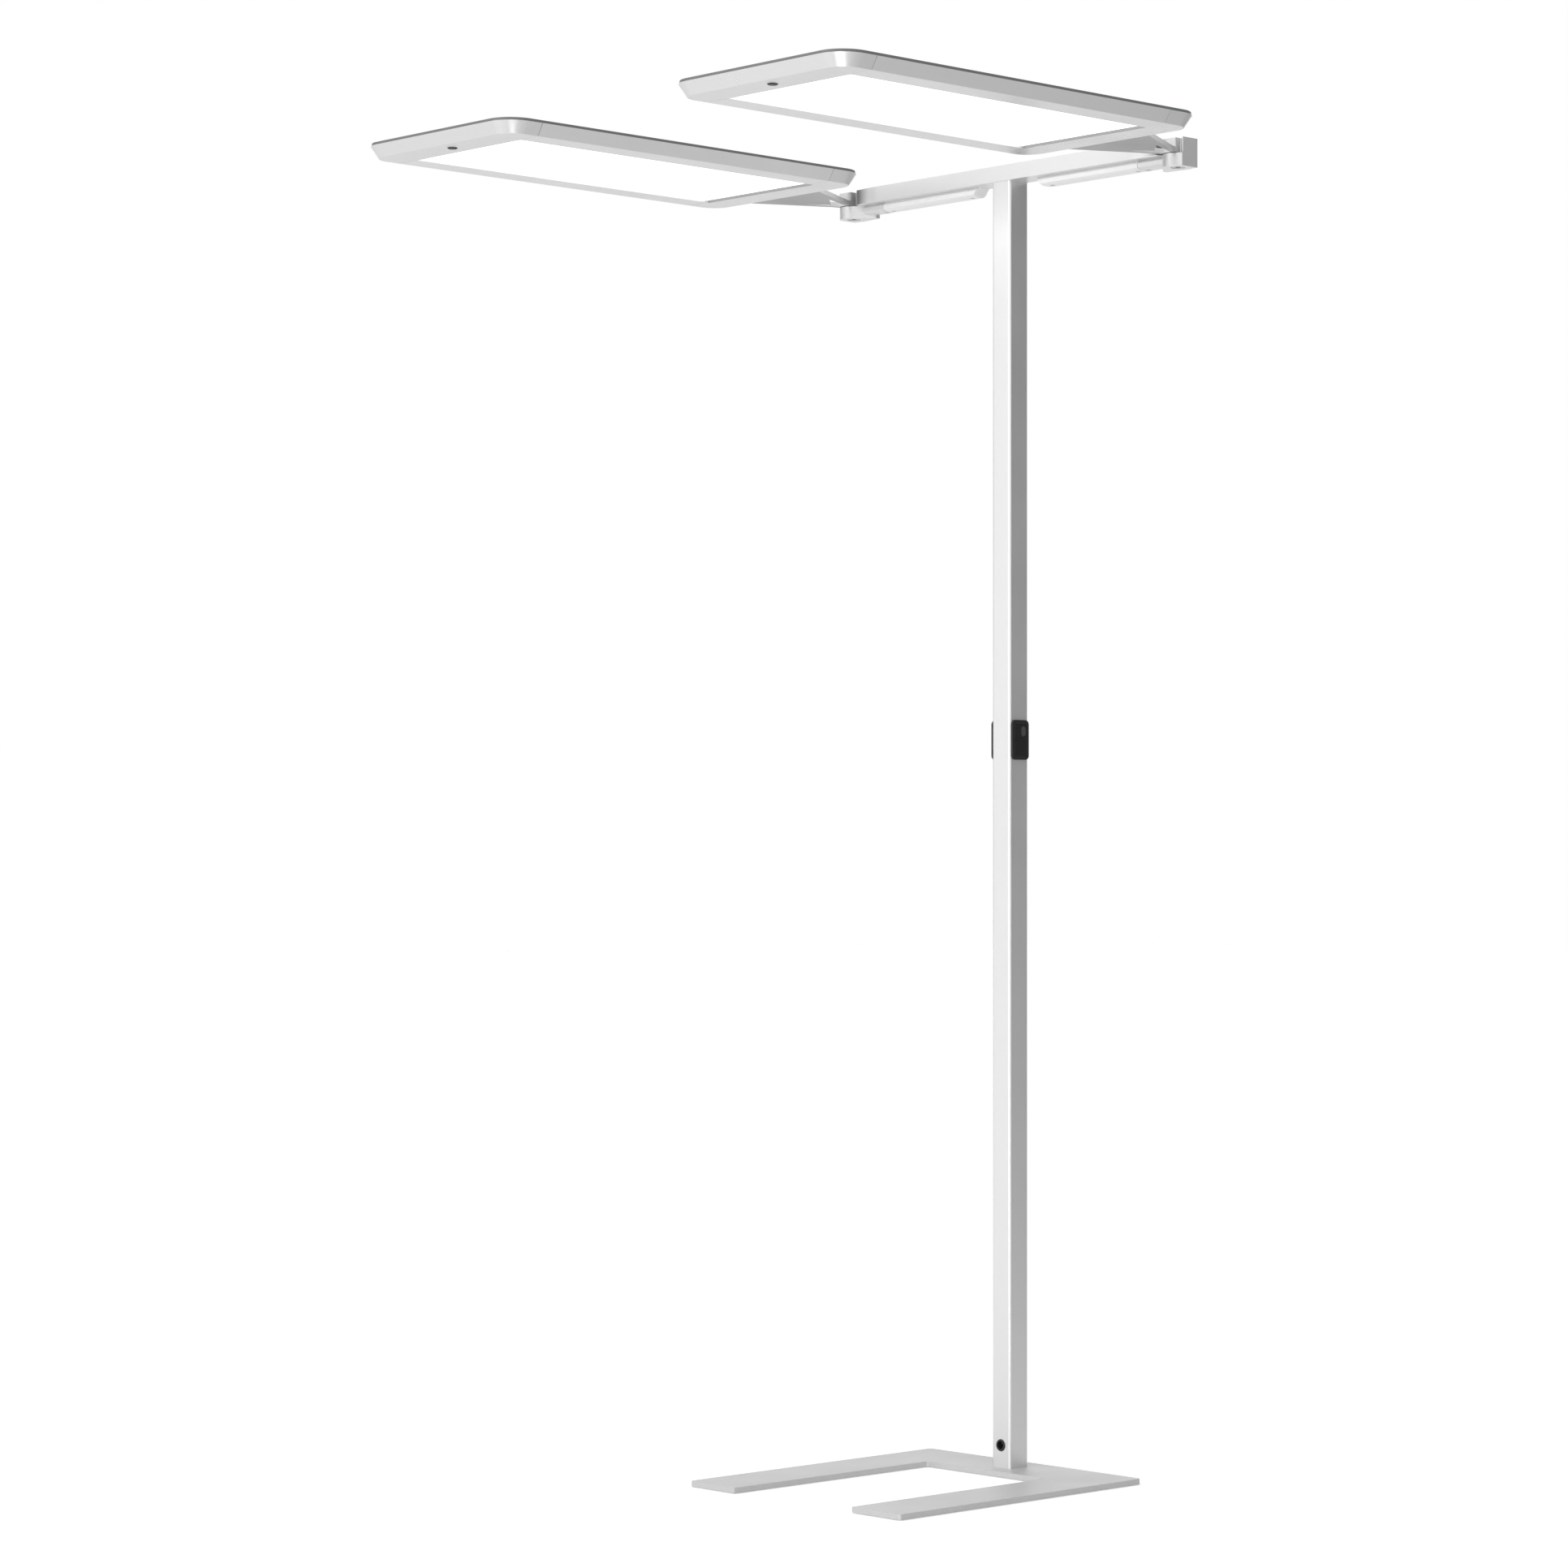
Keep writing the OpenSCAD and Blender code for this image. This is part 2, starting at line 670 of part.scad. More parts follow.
module hinge_housing(side) {
    color(bright_alu) place(side) difference() {
        union() {
            translate([0, 0, drum_z0]) linear_extrude(drum_h) housing_end_outline();
            translate([tray_x0, 0, 0]) rotate([90, 0, 90]) linear_extrude(hinge_x - tray_x0)
                housing_profile(0);
            translate([0, 0, bar_z0]) linear_extrude(bar_h) intersection() {
                housing_end_outline();
                translate([bar_half, -bar_front]) square([housing_end_x - bar_half, bar_d]);
            }
            bar_profile(bar_half, hinge_x, 0);
            bar_profile(bar_half - spigot_len, bar_half, bar_wall + slip);
        }
        scoop_cut();
        translate([0, 0, bar_z0]) linear_extrude(bar_h + over) hub_recess();
        translate([hinge_x, hinge_y, drum_z0 - over])
            cylinder(h = bolt_pocket_h + over, r = bush_flange_r + slip);
        translate([hinge_x, hinge_y, drum_z0]) cylinder(h = drum_h + over, r = bush_r);
        translate([bar_half - spigot_len - over, hinge_y, (bar_z0 + bar_z1) / 2]) rotate([0, 90, 0])
            cylinder(h = hinge_x - bar_half + spigot_len - hub_r, r = cable_hole_r);
        translate([hinge_screw_x, hinge_screw_y, housing_z0])
            csk_hole(m5_r, m5_head_r, m5_head_h, hinge_screw_len + 1);
    }
}

module pivot_bushes() {
    color(brass) for (s = [-1, 1]) place(s) translate([hinge_x, hinge_y, drum_z0]) difference() {
        union() {
            translate([0, 0, bolt_pocket_h]) cylinder(h = drum_h - bolt_pocket_h, r = bush_r);
            translate([0, 0, bolt_pocket_h - bush_flange_t]) cylinder(h = bush_flange_t, r = bush_flange_r);
        }
        translate([0, 0, -over]) cylinder(h = drum_h + 2 * over, r = pivot_r + pivot_clearance);
    }
}

module thrust_washers() {
    color(white_board) for (s = [-1, 1]) place(s) translate([hinge_x, hinge_y, bar_z0]) difference() {
        cylinder(h = washer_t, r = hub_r - 1);
        translate([0, 0, -over]) cylinder(h = washer_t + 2 * over, r = bush_r);
    }
}

// ---------------------------------------------------------------- driver housings

// Outline of a driver housing in the plane across the bar
module housing_profile(w) {
    polygon([
        [-housing_front + housing_lean + w * 0.8, bar_z0 + (w > 0 ? over : 0)],
        [-housing_front + w, bar_z0 - housing_lean],
        [-housing_front + w, housing_z0 + housing_chamfer],
        [-housing_front + housing_bevel + w / 2, housing_z0 + w],
        [housing_back - housing_chamfer - w / 2, housing_z0 + w],
        [housing_back - w, housing_z0 + housing_chamfer],
        [housing_back - w, bar_z0 + (w > 0 ? over : 0)]
    ]);
}

// A housing profile swept along the bar, its inner end slanting outwards going down
module housing_sweep(x0, x1, w) {
    difference() {
        translate([x0, 0, 0]) rotate([90, 0, 90]) linear_extrude(x1 - x0) housing_profile(w);
        translate([0, bar_back + over, 0]) rotate([90, 0, 0]) linear_extrude(bar_d + 2 * over)
            polygon([[x0 - over, bar_z0 + 2 * over], [x0 - over, housing_z0 - over],
                     [x0 + housing_slant * (1 + over / housing_h), housing_z0 - over],
                     [x0, bar_z0], [x0, bar_z0 + 2 * over]]);
    }
}

module driver_housing(side) {
    rib_xs = [box_screw_x0 + 16, box_screw_x1 - 16];
    color(satin_alu) place(side) difference() {
        union() {
            difference() {
                housing_sweep(housing_x0, housing_x1, 0);
                housing_sweep(housing_x0 + housing_wall, housing_x1 - housing_wall, housing_wall);
            }
            for (x = [box_screw_x0, box_screw_x1]) translate([x, box_screw_y, housing_z0 + 1])
                cylinder(h = housing_h - 1, r = boss_r);
            for (x = rib_xs) box(x - 1, -housing_front + housing_bevel + 1, housing_z0 + 1,
                x + 1, housing_back - housing_chamfer - 1, housing_z0 + housing_wall + rib_h);
        }
        for (x = [box_screw_x0, box_screw_x1]) translate([x, box_screw_y, housing_z0])
            csk_hole(m4_r, m4_head_r, m4_head_h, housing_h + over);
    }
}

module underside_screws() {
    color(zinc) for (s = [-1, 1]) place(s) {
        for (x = [box_screw_x0, box_screw_x1]) translate([x, box_screw_y, housing_z0]) difference() {
            csk_screw(m4_r, m4_head_r, m4_head_h, housing_h + bar_wall);
            translate([0, 0, -over]) cylinder(h = over + 1.6, r = 1.5, $fn = 6);
        }
        translate([hinge_screw_x, hinge_screw_y, housing_z0]) difference() {
            csk_screw(m5_r, m5_head_r, m5_head_h, hinge_screw_len);
            translate([0, 0, -over]) cylinder(h = over + 2, r = 1.9, $fn = 6);
        }
    }
}

// ---------------------------------------------------------------- control panels

module control_bezel(side) {
    color(black_plastic) place(side) {
        difference() {
            translate([panel_x0, 0, panel_z]) rotate([90, 0, 90]) linear_extrude(panel_t)
                rounded_rect(-panel_w / 2, -panel_h / 2, panel_w / 2, panel_h / 2, panel_corner_r);
            for (s = [-1, 1]) translate([0, 0, panel_z + s * key_off]) {
                box(panel_x0 - over, -key_w / 2 - key_gap, -key_h / 2 - key_gap,
                    panel_x1 + over, key_w / 2 + key_gap, key_h / 2 + key_gap);
                box(panel_x0 - over, -key_w / 2 - key_lip - key_gap, -key_h / 2 - key_lip - key_gap,
                    key_x0 + key_lip_t + key_gap, key_w / 2 + key_lip + key_gap,
                    key_h / 2 + key_lip + key_gap);
            }
        }
        for (s = [-1, 1]) box(panel_x0 - tab_len, -key_w / 3, panel_z + s * (tab_z + tab_t / 2) - tab_t / 2,
            panel_x0, key_w / 3, panel_z + s * (tab_z + tab_t / 2) + tab_t / 2);
    }
}

module key(side, dir) {
    z = panel_z + dir * key_off;
    color(black_plastic) place(side) {
        box(key_x0, -key_w / 2 - key_lip, z - key_h / 2 - key_lip + (dir > 0 ? key_lip / 2 : 0),
            key_x0 + key_lip_t, key_w / 2 + key_lip, z + key_h / 2 + key_lip - (dir < 0 ? key_lip / 2 : 0));
        translate([key_x0 + key_lip_t, 0, z]) rotate([90, 0, 90])
            linear_extrude(panel_x1 - key_x0 - key_lip_t)
                rounded_rect(-key_w / 2, -key_h / 2, key_w / 2, key_h / 2, 1.5);
    }
}

module circuit_boards() {
    board_x0 = panel_x0 - tab_len;
    dome_x1 = key_x0 - key_travel - dome_gap;
    driver_board_z1 = housing_z0 + housing_wall + rib_h + board_t;
    color(board_green) for (s = [-1, 1]) place(s) {
        box(board_x0, -key_w / 2 + 1, panel_z - tab_z, board_x0 + board_t, key_w / 2 - 1, panel_z + tab_z);
        for (d = [-1, 1]) translate([board_x0 + board_t, 0, panel_z + d * key_off]) rotate([0, 90, 0])
            cylinder(h = dome_x1 - board_x0 - board_t, r = dome_r);
        box(box_screw_x0 + boss_r + 3, -housing_front + housing_bevel, housing_z0 + housing_wall + rib_h,
            box_screw_x1 - boss_r - 3, housing_back - housing_chamfer, driver_board_z1);
        for (i = [0 : coil_count - 1]) box(
            box_screw_x0 + coil_start + i * coil_pitch, 0, driver_board_z1,
            box_screw_x0 + coil_start + coil_w + i * coil_pitch, housing_back - housing_chamfer - 2,
            bar_z0 - coil_head_gap);
    }
}

// ---------------------------------------------------------------- lighting heads

// Ring around the light opening, from one offset outside it to another
module opening_ring(in_side, in_front, in_rear, t, z0, z1) {
    difference() {
        box(-in_side - t, in_front - t, z0, in_side + t, in_rear + t, z1);
        box(-in_side, in_front, z0 - over, in_side, in_rear, z1 + over);
    }
}

// Hollow end of the frame, still the full length of the head
module frame_shell() {
    difference() {
        frame_solid();
        translate([0, 0, floor_t]) tapered_box(half_top - frame_wall, -head_front + frame_wall,
            -head_rear - frame_wall, frame_inset * (frame_h - floor_t) / frame_h,
            head_corner_r - frame_wall, frame_h - floor_t);
        box(-open_half, open_front, -over, open_half, open_rear, floor_t + over);
        box(-half_top, -head_front, frame_h - 0.01, half_top, -head_rear, frame_h + over);
    }
    opening_ring(open_half, open_front, open_rear, lip_w, floor_t - 0.5, lip_h);
    opening_ring(web_in, web_front, web_rear, web_t, floor_t - 0.5, web_top);
}

module joint_screw_places() {
    for (x = [-1, 1]) for (y = [seam_front, seam_rear]) for (d = [-joint_screw_y, joint_screw_y])
        translate([x * (joint_plate_x + joint_plate_w / 2), y + d, 0]) children();
}

joint_screw_depth = 2;

module joint_screw_holes() {
    joint_screw_places() translate([0, 0, floor_t - joint_screw_depth])
        cylinder(h = joint_screw_depth + over, r = m3_r + screw_gap);
}

module in_head(side) {
    place(side) translate([hinge_x, 0, head_z0]) children();
}

module front_cap(side) {
    color(bright_alu) in_head(side) difference() {
        union() {
            intersection() {
                frame_shell();
                union() {
                    box(-half_top - over, -head_front - over, -over,
                        half_top + over, seam_front, frame_h + over);
                    box(-open_half, -head_front - over, -over, open_half, open_front + over, lip_h + over);
                }
            }
            translate([guide_screw_x, guide_screw_y, 0]) cylinder(h = web_top, r = guide_boss_r);
        }
        translate([guide_screw_x, guide_screw_y, 0])
            csk_hole(m3_r, m3_head_r, m3_head_h, guide_screw_len + 1);
        translate([0, sensor_y, -over]) cylinder(h = floor_t + 2 * over, r = sensor_r + slip);
        joint_screw_holes();
    }
}

module rear_cap(side) {
    color(bright_alu) in_head(side) difference() {
        intersection() {
            frame_shell();
            box(-half_top - over, seam_rear, -over, half_top + over, -head_rear + over, frame_h + over);
        }
        box(-neck_half - slip, step_front - slip, floor_t,
            neck_half + slip, -head_rear + over, floor_t + tongue_t + slip);
        joint_screw_holes();
    }
}

function inner_slope(z) = half_bottom + frame_inset * z / frame_h - frame_wall;

module rail_profile() {
    polygon([
        [open_half, 0], [half_bottom, 0], [half_top, frame_h], [half_top - frame_wall, frame_h],
        [inner_slope(web_top + carrier_t + slip + groove_rib), web_top + carrier_t + slip + groove_rib],
        [groove_half, web_top + carrier_t + slip + groove_rib],
        [groove_half, web_top + carrier_t + slip],
        [inner_slope(web_top + carrier_t + slip), web_top + carrier_t + slip],
        [inner_slope(web_top), web_top], [groove_half, web_top],
        [groove_half, web_top - groove_rib], [inner_slope(web_top - groove_rib), web_top - groove_rib],
        [inner_slope(floor_t), floor_t], [web_in + web_t, floor_t], [web_in + web_t, web_top],
        [web_in, web_top], [web_in, floor_t], [open_half + lip_w, floor_t],
        [open_half + lip_w, lip_h], [open_half, lip_h]
    ]);
}

module side_rails(side) {
    color(satin_alu) in_head(side) difference() {
        for (s = [-1, 1]) place(s) translate([0, seam_rear, 0]) rotate([90, 0, 0])
            linear_extrude(seam_rear - seam_front) rail_profile();
        joint_screw_holes();
    }
}

module joint_plates(side) {
    color(zinc) in_head(side) difference() {
        for (s = [-1, 1]) place(s) for (y = [seam_front, seam_rear])
            box(joint_plate_x, y - joint_plate_half, floor_t,
                joint_plate_x + joint_plate_w, y + joint_plate_half, floor_t + joint_plate_t);
        joint_screw_places() cylinder(h = 4 * floor_t, r = m3_r + screw_gap);
    }
}

module standoff_places() {
    for (x = [-standoff_x, standoff_x]) for (y = standoff_ys) translate([x, y, 0]) children();
}

cover_screw_len = 7;

module neck_screw_places() {
    for (x = [-neck_screw_x, neck_screw_x]) for (y = neck_screw_ys)
        translate([x, step_front - y, 0]) children();
}

module carrier_plate(side) {
    boss_h = cover_z0 - carrier_top;
    color(zinc) in_head(side) difference() {
        union() {
            rounded_plate(-carrier_half, carrier_front, carrier_half, carrier_rear, carrier_corner_r,
                web_top, carrier_t);
            standoff_places() translate([0, 0, web_top + carrier_t]) cylinder(h = boss_h, r = standoff_r);
        }
        standoff_places() translate([0, 0, web_top + carrier_t + boss_h - cover_screw_len])
            cylinder(h = cover_screw_len + over, r = m3_r + screw_gap);
        neck_screw_places() translate([0, 0, web_top - over])
            cylinder(h = carrier_t + 2 * over, r = m4_r + screw_gap);
    }
}

module led_boards(side) {
    strip_gap = 0.3;
    z_board = carrier_top;
    sensor_board_z = floor_t + 1.5;
    color(white_board) in_head(side) {
        for (s = [-1, 1]) place(s) box(web_in - strip_gap - board_t, open_front + 2, floor_t + strip_gap,
            web_in - strip_gap, open_rear - 2, web_top - strip_gap);
        for (x = [-window_x, window_x]) box(x - uplight_board_w / 2, window_front + 6, z_board,
            x + uplight_board_w / 2, window_rear - 6, z_board + board_t);
        box(-14, sensor_y - 11, sensor_board_z, 14, sensor_y + 11, sensor_board_z + board_t);
    }
}

module light_guide(side) {
    color(clear) in_head(side) box(-web_in + channel_w - 1, web_front + 1, guide_z0,
        web_in - channel_w + 1, web_rear - 0.5, guide_z0 + guide_t);
}

module reflector(side) {
    color(opal) in_head(side) box(-web_in + channel_w - 1, web_front + 1, web_top - reflector_t,
        web_in - channel_w + 1, web_rear - 0.5, web_top);
}

module diffuser(side) {
    color(opal) in_head(side) box(-open_half - lip_w + 0.3, open_front - lip_w + 0.3, lip_h,
        open_half + lip_w - 0.3, open_rear + lip_w - 0.3, lip_h + diffuser_t);
}

module sensor_lens(side) {
    color(dark_plastic) in_head(side) translate([0, sensor_y, 0]) {
        translate([0, 0, -1.6]) cylinder(h = 1.6, r1 = sensor_r - 2, r2 = sensor_r);
        cylinder(h = floor_t, r = sensor_r);
        translate([0, 0, floor_t]) cylinder(h = 1.5, r = sensor_r + 2);
    }
}

module window_place(grow, z, h) {
    for (x = [-window_x, window_x]) rounded_plate(x - window_w / 2 - grow, window_front - grow,
        x + window_w / 2 + grow, window_rear + grow, window_corner_r + grow, z, h);
}

module top_cover(side) {
    half = half_top - cover_inset;
    r = head_corner_r - cover_inset;
    color(dark_plastic) in_head(side) difference() {
        rounded_plate(-half, -head_front + cover_inset, half, -head_rear - cover_inset, r, frame_h, cover_h);
        rounded_plate(-half + cover_rim, -head_front + cover_inset + cover_rim, half - cover_rim,
            -head_rear - cover_inset - cover_rim, r - cover_rim, frame_h - over, cover_h - cover_t + over);
        window_place(0, frame_h, cover_h + over);
        standoff_places() translate([0, 0, frame_h + cover_h]) rotate([180, 0, 0])
            csk_hole(m3_r, m3_head_r, m3_head_h, cover_t + over);
    }
}

module uplight_lenses(side) {
    color(clear) in_head(side) {
        window_place(-slip, frame_h + cover_h - cover_t, cover_t - 0.3);
        window_place(lens_flange, frame_h + cover_h - cover_t - lens_flange_t, lens_flange_t);
    }
}

module head_screws(side) {
    color(zinc) in_head(side) {
        joint_screw_places() {
            translate([0, 0, floor_t - joint_screw_depth + 0.2])
                cylinder(h = joint_screw_depth + joint_plate_t - 0.2, r = m3_r);
            translate([0, 0, floor_t + joint_plate_t]) cylinder(h = m3_head_h, r = m3_head_r);
        }
        standoff_places() translate([0, 0, frame_h + cover_h]) rotate([180, 0, 0])
            csk_screw(m3_r, m3_head_r, m3_head_h, cover_t + cover_screw_len - 1);
        translate([guide_screw_x, guide_screw_y, 0]) csk_screw(m3_r, m3_head_r, m3_head_h, guide_screw_len);
    }
}

module neck_screws(side) {
    color(zinc) in_head(side) neck_screw_places() {
        translate([0, 0, web_top + 0.2]) cylinder(h = carrier_t + neck_flange_t - 0.2, r = m4_r);
        translate([0, 0, web_top + carrier_t + neck_flange_t]) cylinder(h = 2, r = m4_head_r - 0.5);
    }
}

// ---------------------------------------------------------------- necks

// Outward run of a strut per unit of reach
neck_slope = (neck_half - neck_root) / (head_rear + neck_start_y);

// Half width of the outer edge of the neck at a place along Y
function neck_edge(y) = neck_root + (neck_start_y - y) * neck_slope;

module neck_outline() {
    polygon([
        [-neck_waist, hinge_y], [neck_waist, hinge_y], [neck_root, neck_start_y],
        [neck_edge(-head_rear - frame_inset), -head_rear - frame_inset],
        [-neck_edge(-head_rear - frame_inset), -head_rear - frame_inset], [-neck_root, neck_start_y]
    ]);
}

// Outer form of the frame of a head, without its hollow
module frame_solid() {
    tapered_box(half_top, -head_front, -head_rear, frame_inset, head_corner_r, frame_h);
}

// Window between the hub and the pointed end of the web
module neck_window() {
    wide_y = neck_window_y - neck_window_len;
    polygon([
        [-window_tip_half, neck_window_y], [window_tip_half, neck_window_y],
        [window_wide_half, wide_y], [0, wide_y + window_wide_half], [-window_wide_half, wide_y]
    ]);
}

// Field between the struts where the neck is only a web, open at the top
module neck_field() {
    y0 = neck_window_y;
    y1 = -head_rear + 6;
    polygon([
        [-(neck_edge(y0) - strut_w), y0], [neck_edge(y0) - strut_w, y0],
        [neck_edge(y1) - strut_w, y1], [-(neck_edge(y1) - strut_w), y1]
    ]);
}

module neck_body() {
    difference() {
        linear_extrude(neck_t) neck_outline();
        frame_solid();
    }
    translate([0, 0, floor_t]) linear_extrude(tongue_t)
        translate([-neck_half, step_front]) square([2 * neck_half, -head_rear - step_front]);
    translate([0, hinge_y, 0]) cylinder(h = hub_z1 - hub_z0, r = hub_r, $fn = 96);
    box(-hub_block_half, -bar_front + hub_gap, 0, hub_block_half, hinge_y, hub_z1 - hub_z0);
    box(-neck_half + 6, step_front, floor_t, neck_half - 6, step_back, carrier_top + neck_flange_t);
    box(-neck_flange_half, step_front - neck_flange_len, carrier_top,
        neck_flange_half, step_back, carrier_top + neck_flange_t);
}

module neck(side) {
    color(bright_alu) in_head(side) difference() {
        neck_body();
        translate([0, 0, -over]) linear_extrude(neck_t + 2 * over) neck_window();
        translate([0, 0, neck_web_t]) linear_extrude(neck_t) neck_field();
        translate([0, hinge_y, -over]) cylinder(h = hub_z1 - hub_z0 - 5 + over, r = pivot_r + screw_gap);
        translate([0, 0, carrier_top - over]) neck_screw_places()
            cylinder(h = neck_flange_t + 2 * over, r = m4_r + screw_gap);
    }
}

bolt_head_z1 = drum_z0 + bolt_pocket_h - bush_flange_t - 2 * run_gap;

module pivot_bolt(side) {
    color(zinc) place(side) translate([hinge_x, hinge_y, 0]) difference() {
        union() {
            translate([0, 0, bolt_head_z1 - bolt_head_h])
                cylinder(h = bolt_head_h, r = bolt_head_r);
            translate([0, 0, bolt_head_z1 - 1])
                cylinder(h = hub_z1 - 6 - bolt_head_z1 + 1, r = pivot_r);
        }
        translate([0, 0, drum_z0 - over]) cylinder(h = over + 3.4, r = 4.6, $fn = 6);
    }
}

// ---------------------------------------------------------------- nodes

base_plate();
floor_pads();
base_screws();
foot_block();
pole();
pole_screws();
inlet_socket();
inlet_pins();
pole_cable();
top_block();
crossbar();
bar_screws();
bar_plugs();
hinge_housing(-1);  // hinge_housing_left
hinge_housing(1);  // hinge_housing_right
pivot_bushes();
thrust_washers();
driver_housing(-1);  // driver_housing_left
driver_housing(1);  // driver_housing_right
circuit_boards();
underside_screws();
control_bezel(-1);  // control_bezel_left
control_bezel(1);  // control_bezel_right
key(-1, 1);  // key_up_left
key(-1, -1);  // key_down_left
key(1, 1);  // key_up_right
key(1, -1);  // key_down_right
neck(-1);  // neck_left
pivot_bolt(-1);  // pivot_bolt_left
side_rails(-1);  // side_rails_left
front_cap(-1);  // front_cap_left
rear_cap(-1);  // rear_cap_left
joint_plates(-1);  // joint_plates_left
carrier_plate(-1);  // carrier_plate_left
led_boards(-1);  // led_boards_left
reflector(-1);  // reflector_left
light_guide(-1);  // light_guide_left
diffuser(-1);  // diffuser_left
sensor_lens(-1);  // sensor_lens_left
top_cover(-1);  // top_cover_left
uplight_lenses(-1);  // uplight_lenses_left
head_screws(-1);  // head_screws_left
neck_screws(-1);  // neck_screws_left
neck(1);  // neck_right
pivot_bolt(1);  // pivot_bolt_right
side_rails(1);  // side_rails_right
front_cap(1);  // front_cap_right
rear_cap(1);  // rear_cap_right
joint_plates(1);  // joint_plates_right
carrier_plate(1);  // carrier_plate_right
led_boards(1);  // led_boards_right
reflector(1);  // reflector_right
light_guide(1);  // light_guide_right
diffuser(1);  // diffuser_right
sensor_lens(1);  // sensor_lens_right
top_cover(1);  // top_cover_right
uplight_lenses(1);  // uplight_lenses_right
head_screws(1);  // head_screws_right
neck_screws(1);  // neck_screws_right
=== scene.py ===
import bpy
import bmesh
import json
import math
from mathutils import Matrix, Vector

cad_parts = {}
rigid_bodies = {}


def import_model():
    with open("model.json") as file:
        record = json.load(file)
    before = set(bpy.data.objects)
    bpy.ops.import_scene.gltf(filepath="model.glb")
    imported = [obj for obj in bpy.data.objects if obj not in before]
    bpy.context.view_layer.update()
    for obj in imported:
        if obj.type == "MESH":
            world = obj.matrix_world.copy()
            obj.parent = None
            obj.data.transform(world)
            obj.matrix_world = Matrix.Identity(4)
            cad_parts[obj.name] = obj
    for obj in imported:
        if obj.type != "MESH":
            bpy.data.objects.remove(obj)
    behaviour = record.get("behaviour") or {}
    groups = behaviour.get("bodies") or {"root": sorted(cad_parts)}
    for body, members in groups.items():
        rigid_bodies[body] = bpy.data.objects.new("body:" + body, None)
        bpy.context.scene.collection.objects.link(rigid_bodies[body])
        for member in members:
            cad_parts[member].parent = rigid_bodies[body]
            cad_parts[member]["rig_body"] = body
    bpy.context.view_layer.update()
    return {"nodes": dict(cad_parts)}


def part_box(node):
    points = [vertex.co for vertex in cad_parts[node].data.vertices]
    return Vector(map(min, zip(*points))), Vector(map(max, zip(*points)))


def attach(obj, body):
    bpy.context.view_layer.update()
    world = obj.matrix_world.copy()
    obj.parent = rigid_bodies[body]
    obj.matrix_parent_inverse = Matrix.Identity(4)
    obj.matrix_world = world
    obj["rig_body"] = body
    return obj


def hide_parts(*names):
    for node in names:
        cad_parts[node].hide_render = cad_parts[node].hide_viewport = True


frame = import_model()
cadNodes = frame["nodes"]
print("frame loaded:", len(cadNodes), "nodes")

sides = ("left", "right")


# effects that several materials share

def newGroup(name, inputs, outputs):
    group = bpy.data.node_groups.new(name, "ShaderNodeTree")
    for label, kind, value in inputs:
        socket = group.interface.new_socket(label, in_out="INPUT", socket_type=kind)
        socket.default_value = value
    for label, kind in outputs:
        group.interface.new_socket(label, in_out="OUTPUT", socket_type=kind)
    start = group.nodes.new("NodeGroupInput")
    end = group.nodes.new("NodeGroupOutput")
    return group, start, end


def addNode(tree, kind, **values):
    node = tree.nodes.new(kind)
    for key, value in values.items():
        if hasattr(node, key):
            setattr(node, key, value)
        else:
            node.inputs[key.replace("_", " ")].default_value = value
    return node


# fine lines left by drawing or brushing: Stretch sets how long they are along each axis
def makeGrainGroup():
    group, start, end = newGroup("drawnGrain",
        [("Stretch", "NodeSocketVector", (1, 1, 1)), ("Depth", "NodeSocketFloat", 0.1)],
        [("Value", "NodeSocketFloat"), ("Patch", "NodeSocketFloat"), ("Normal", "NodeSocketVector")])
    coords = addNode(group, "ShaderNodeTexCoord")
    mapping = addNode(group, "ShaderNodeMapping")
    lines = addNode(group, "ShaderNodeTexNoise", Scale=1.0, Detail=5.0, Roughness=0.6)
    patches = addNode(group, "ShaderNodeTexNoise", Scale=7.0, Detail=3.0, Roughness=0.5)
    bump = addNode(group, "ShaderNodeBump", Distance=0.0002)
    link = group.links.new
    link(coords.outputs["Object"], mapping.inputs["Vector"])
    link(start.outputs["Stretch"], mapping.inputs["Scale"])
    link(mapping.outputs["Vector"], lines.inputs["Vector"])
    link(coords.outputs["Object"], patches.inputs["Vector"])
    link(start.outputs["Depth"], bump.inputs["Strength"])
    link(lines.outputs["Fac"], bump.inputs["Height"])
    link(lines.outputs["Fac"], end.inputs["Value"])
    link(patches.outputs["Fac"], end.inputs["Patch"])
    link(bump.outputs["Normal"], end.inputs["Normal"])
    return group


# the fine pebble of powder coat or of a moulded skin
def makePebbleGroup():
    group, start, end = newGroup("finePebble",
        [("Size", "NodeSocketFloat", 900.0), ("Depth", "NodeSocketFloat", 0.1)],
        [("Value", "NodeSocketFloat"), ("Patch", "NodeSocketFloat"), ("Normal", "NodeSocketVector")])
    coords = addNode(group, "ShaderNodeTexCoord")
    pebble = addNode(group, "ShaderNodeTexNoise", Detail=3.0, Roughness=0.55)
    patches = addNode(group, "ShaderNodeTexNoise", Scale=9.0, Detail=4.0, Roughness=0.55)
    bump = addNode(group, "ShaderNodeBump", Distance=0.0003)
    link = group.links.new
    link(coords.outputs["Object"], pebble.inputs["Vector"])
    link(coords.outputs["Object"], patches.inputs["Vector"])
    link(start.outputs["Size"], pebble.inputs["Scale"])
    link(start.outputs["Depth"], bump.inputs["Strength"])
    link(pebble.outputs["Fac"], bump.inputs["Height"])
    link(pebble.outputs["Fac"], end.inputs["Value"])
    link(patches.outputs["Fac"], end.inputs["Patch"])
    link(bump.outputs["Normal"], end.inputs["Normal"])
    return group


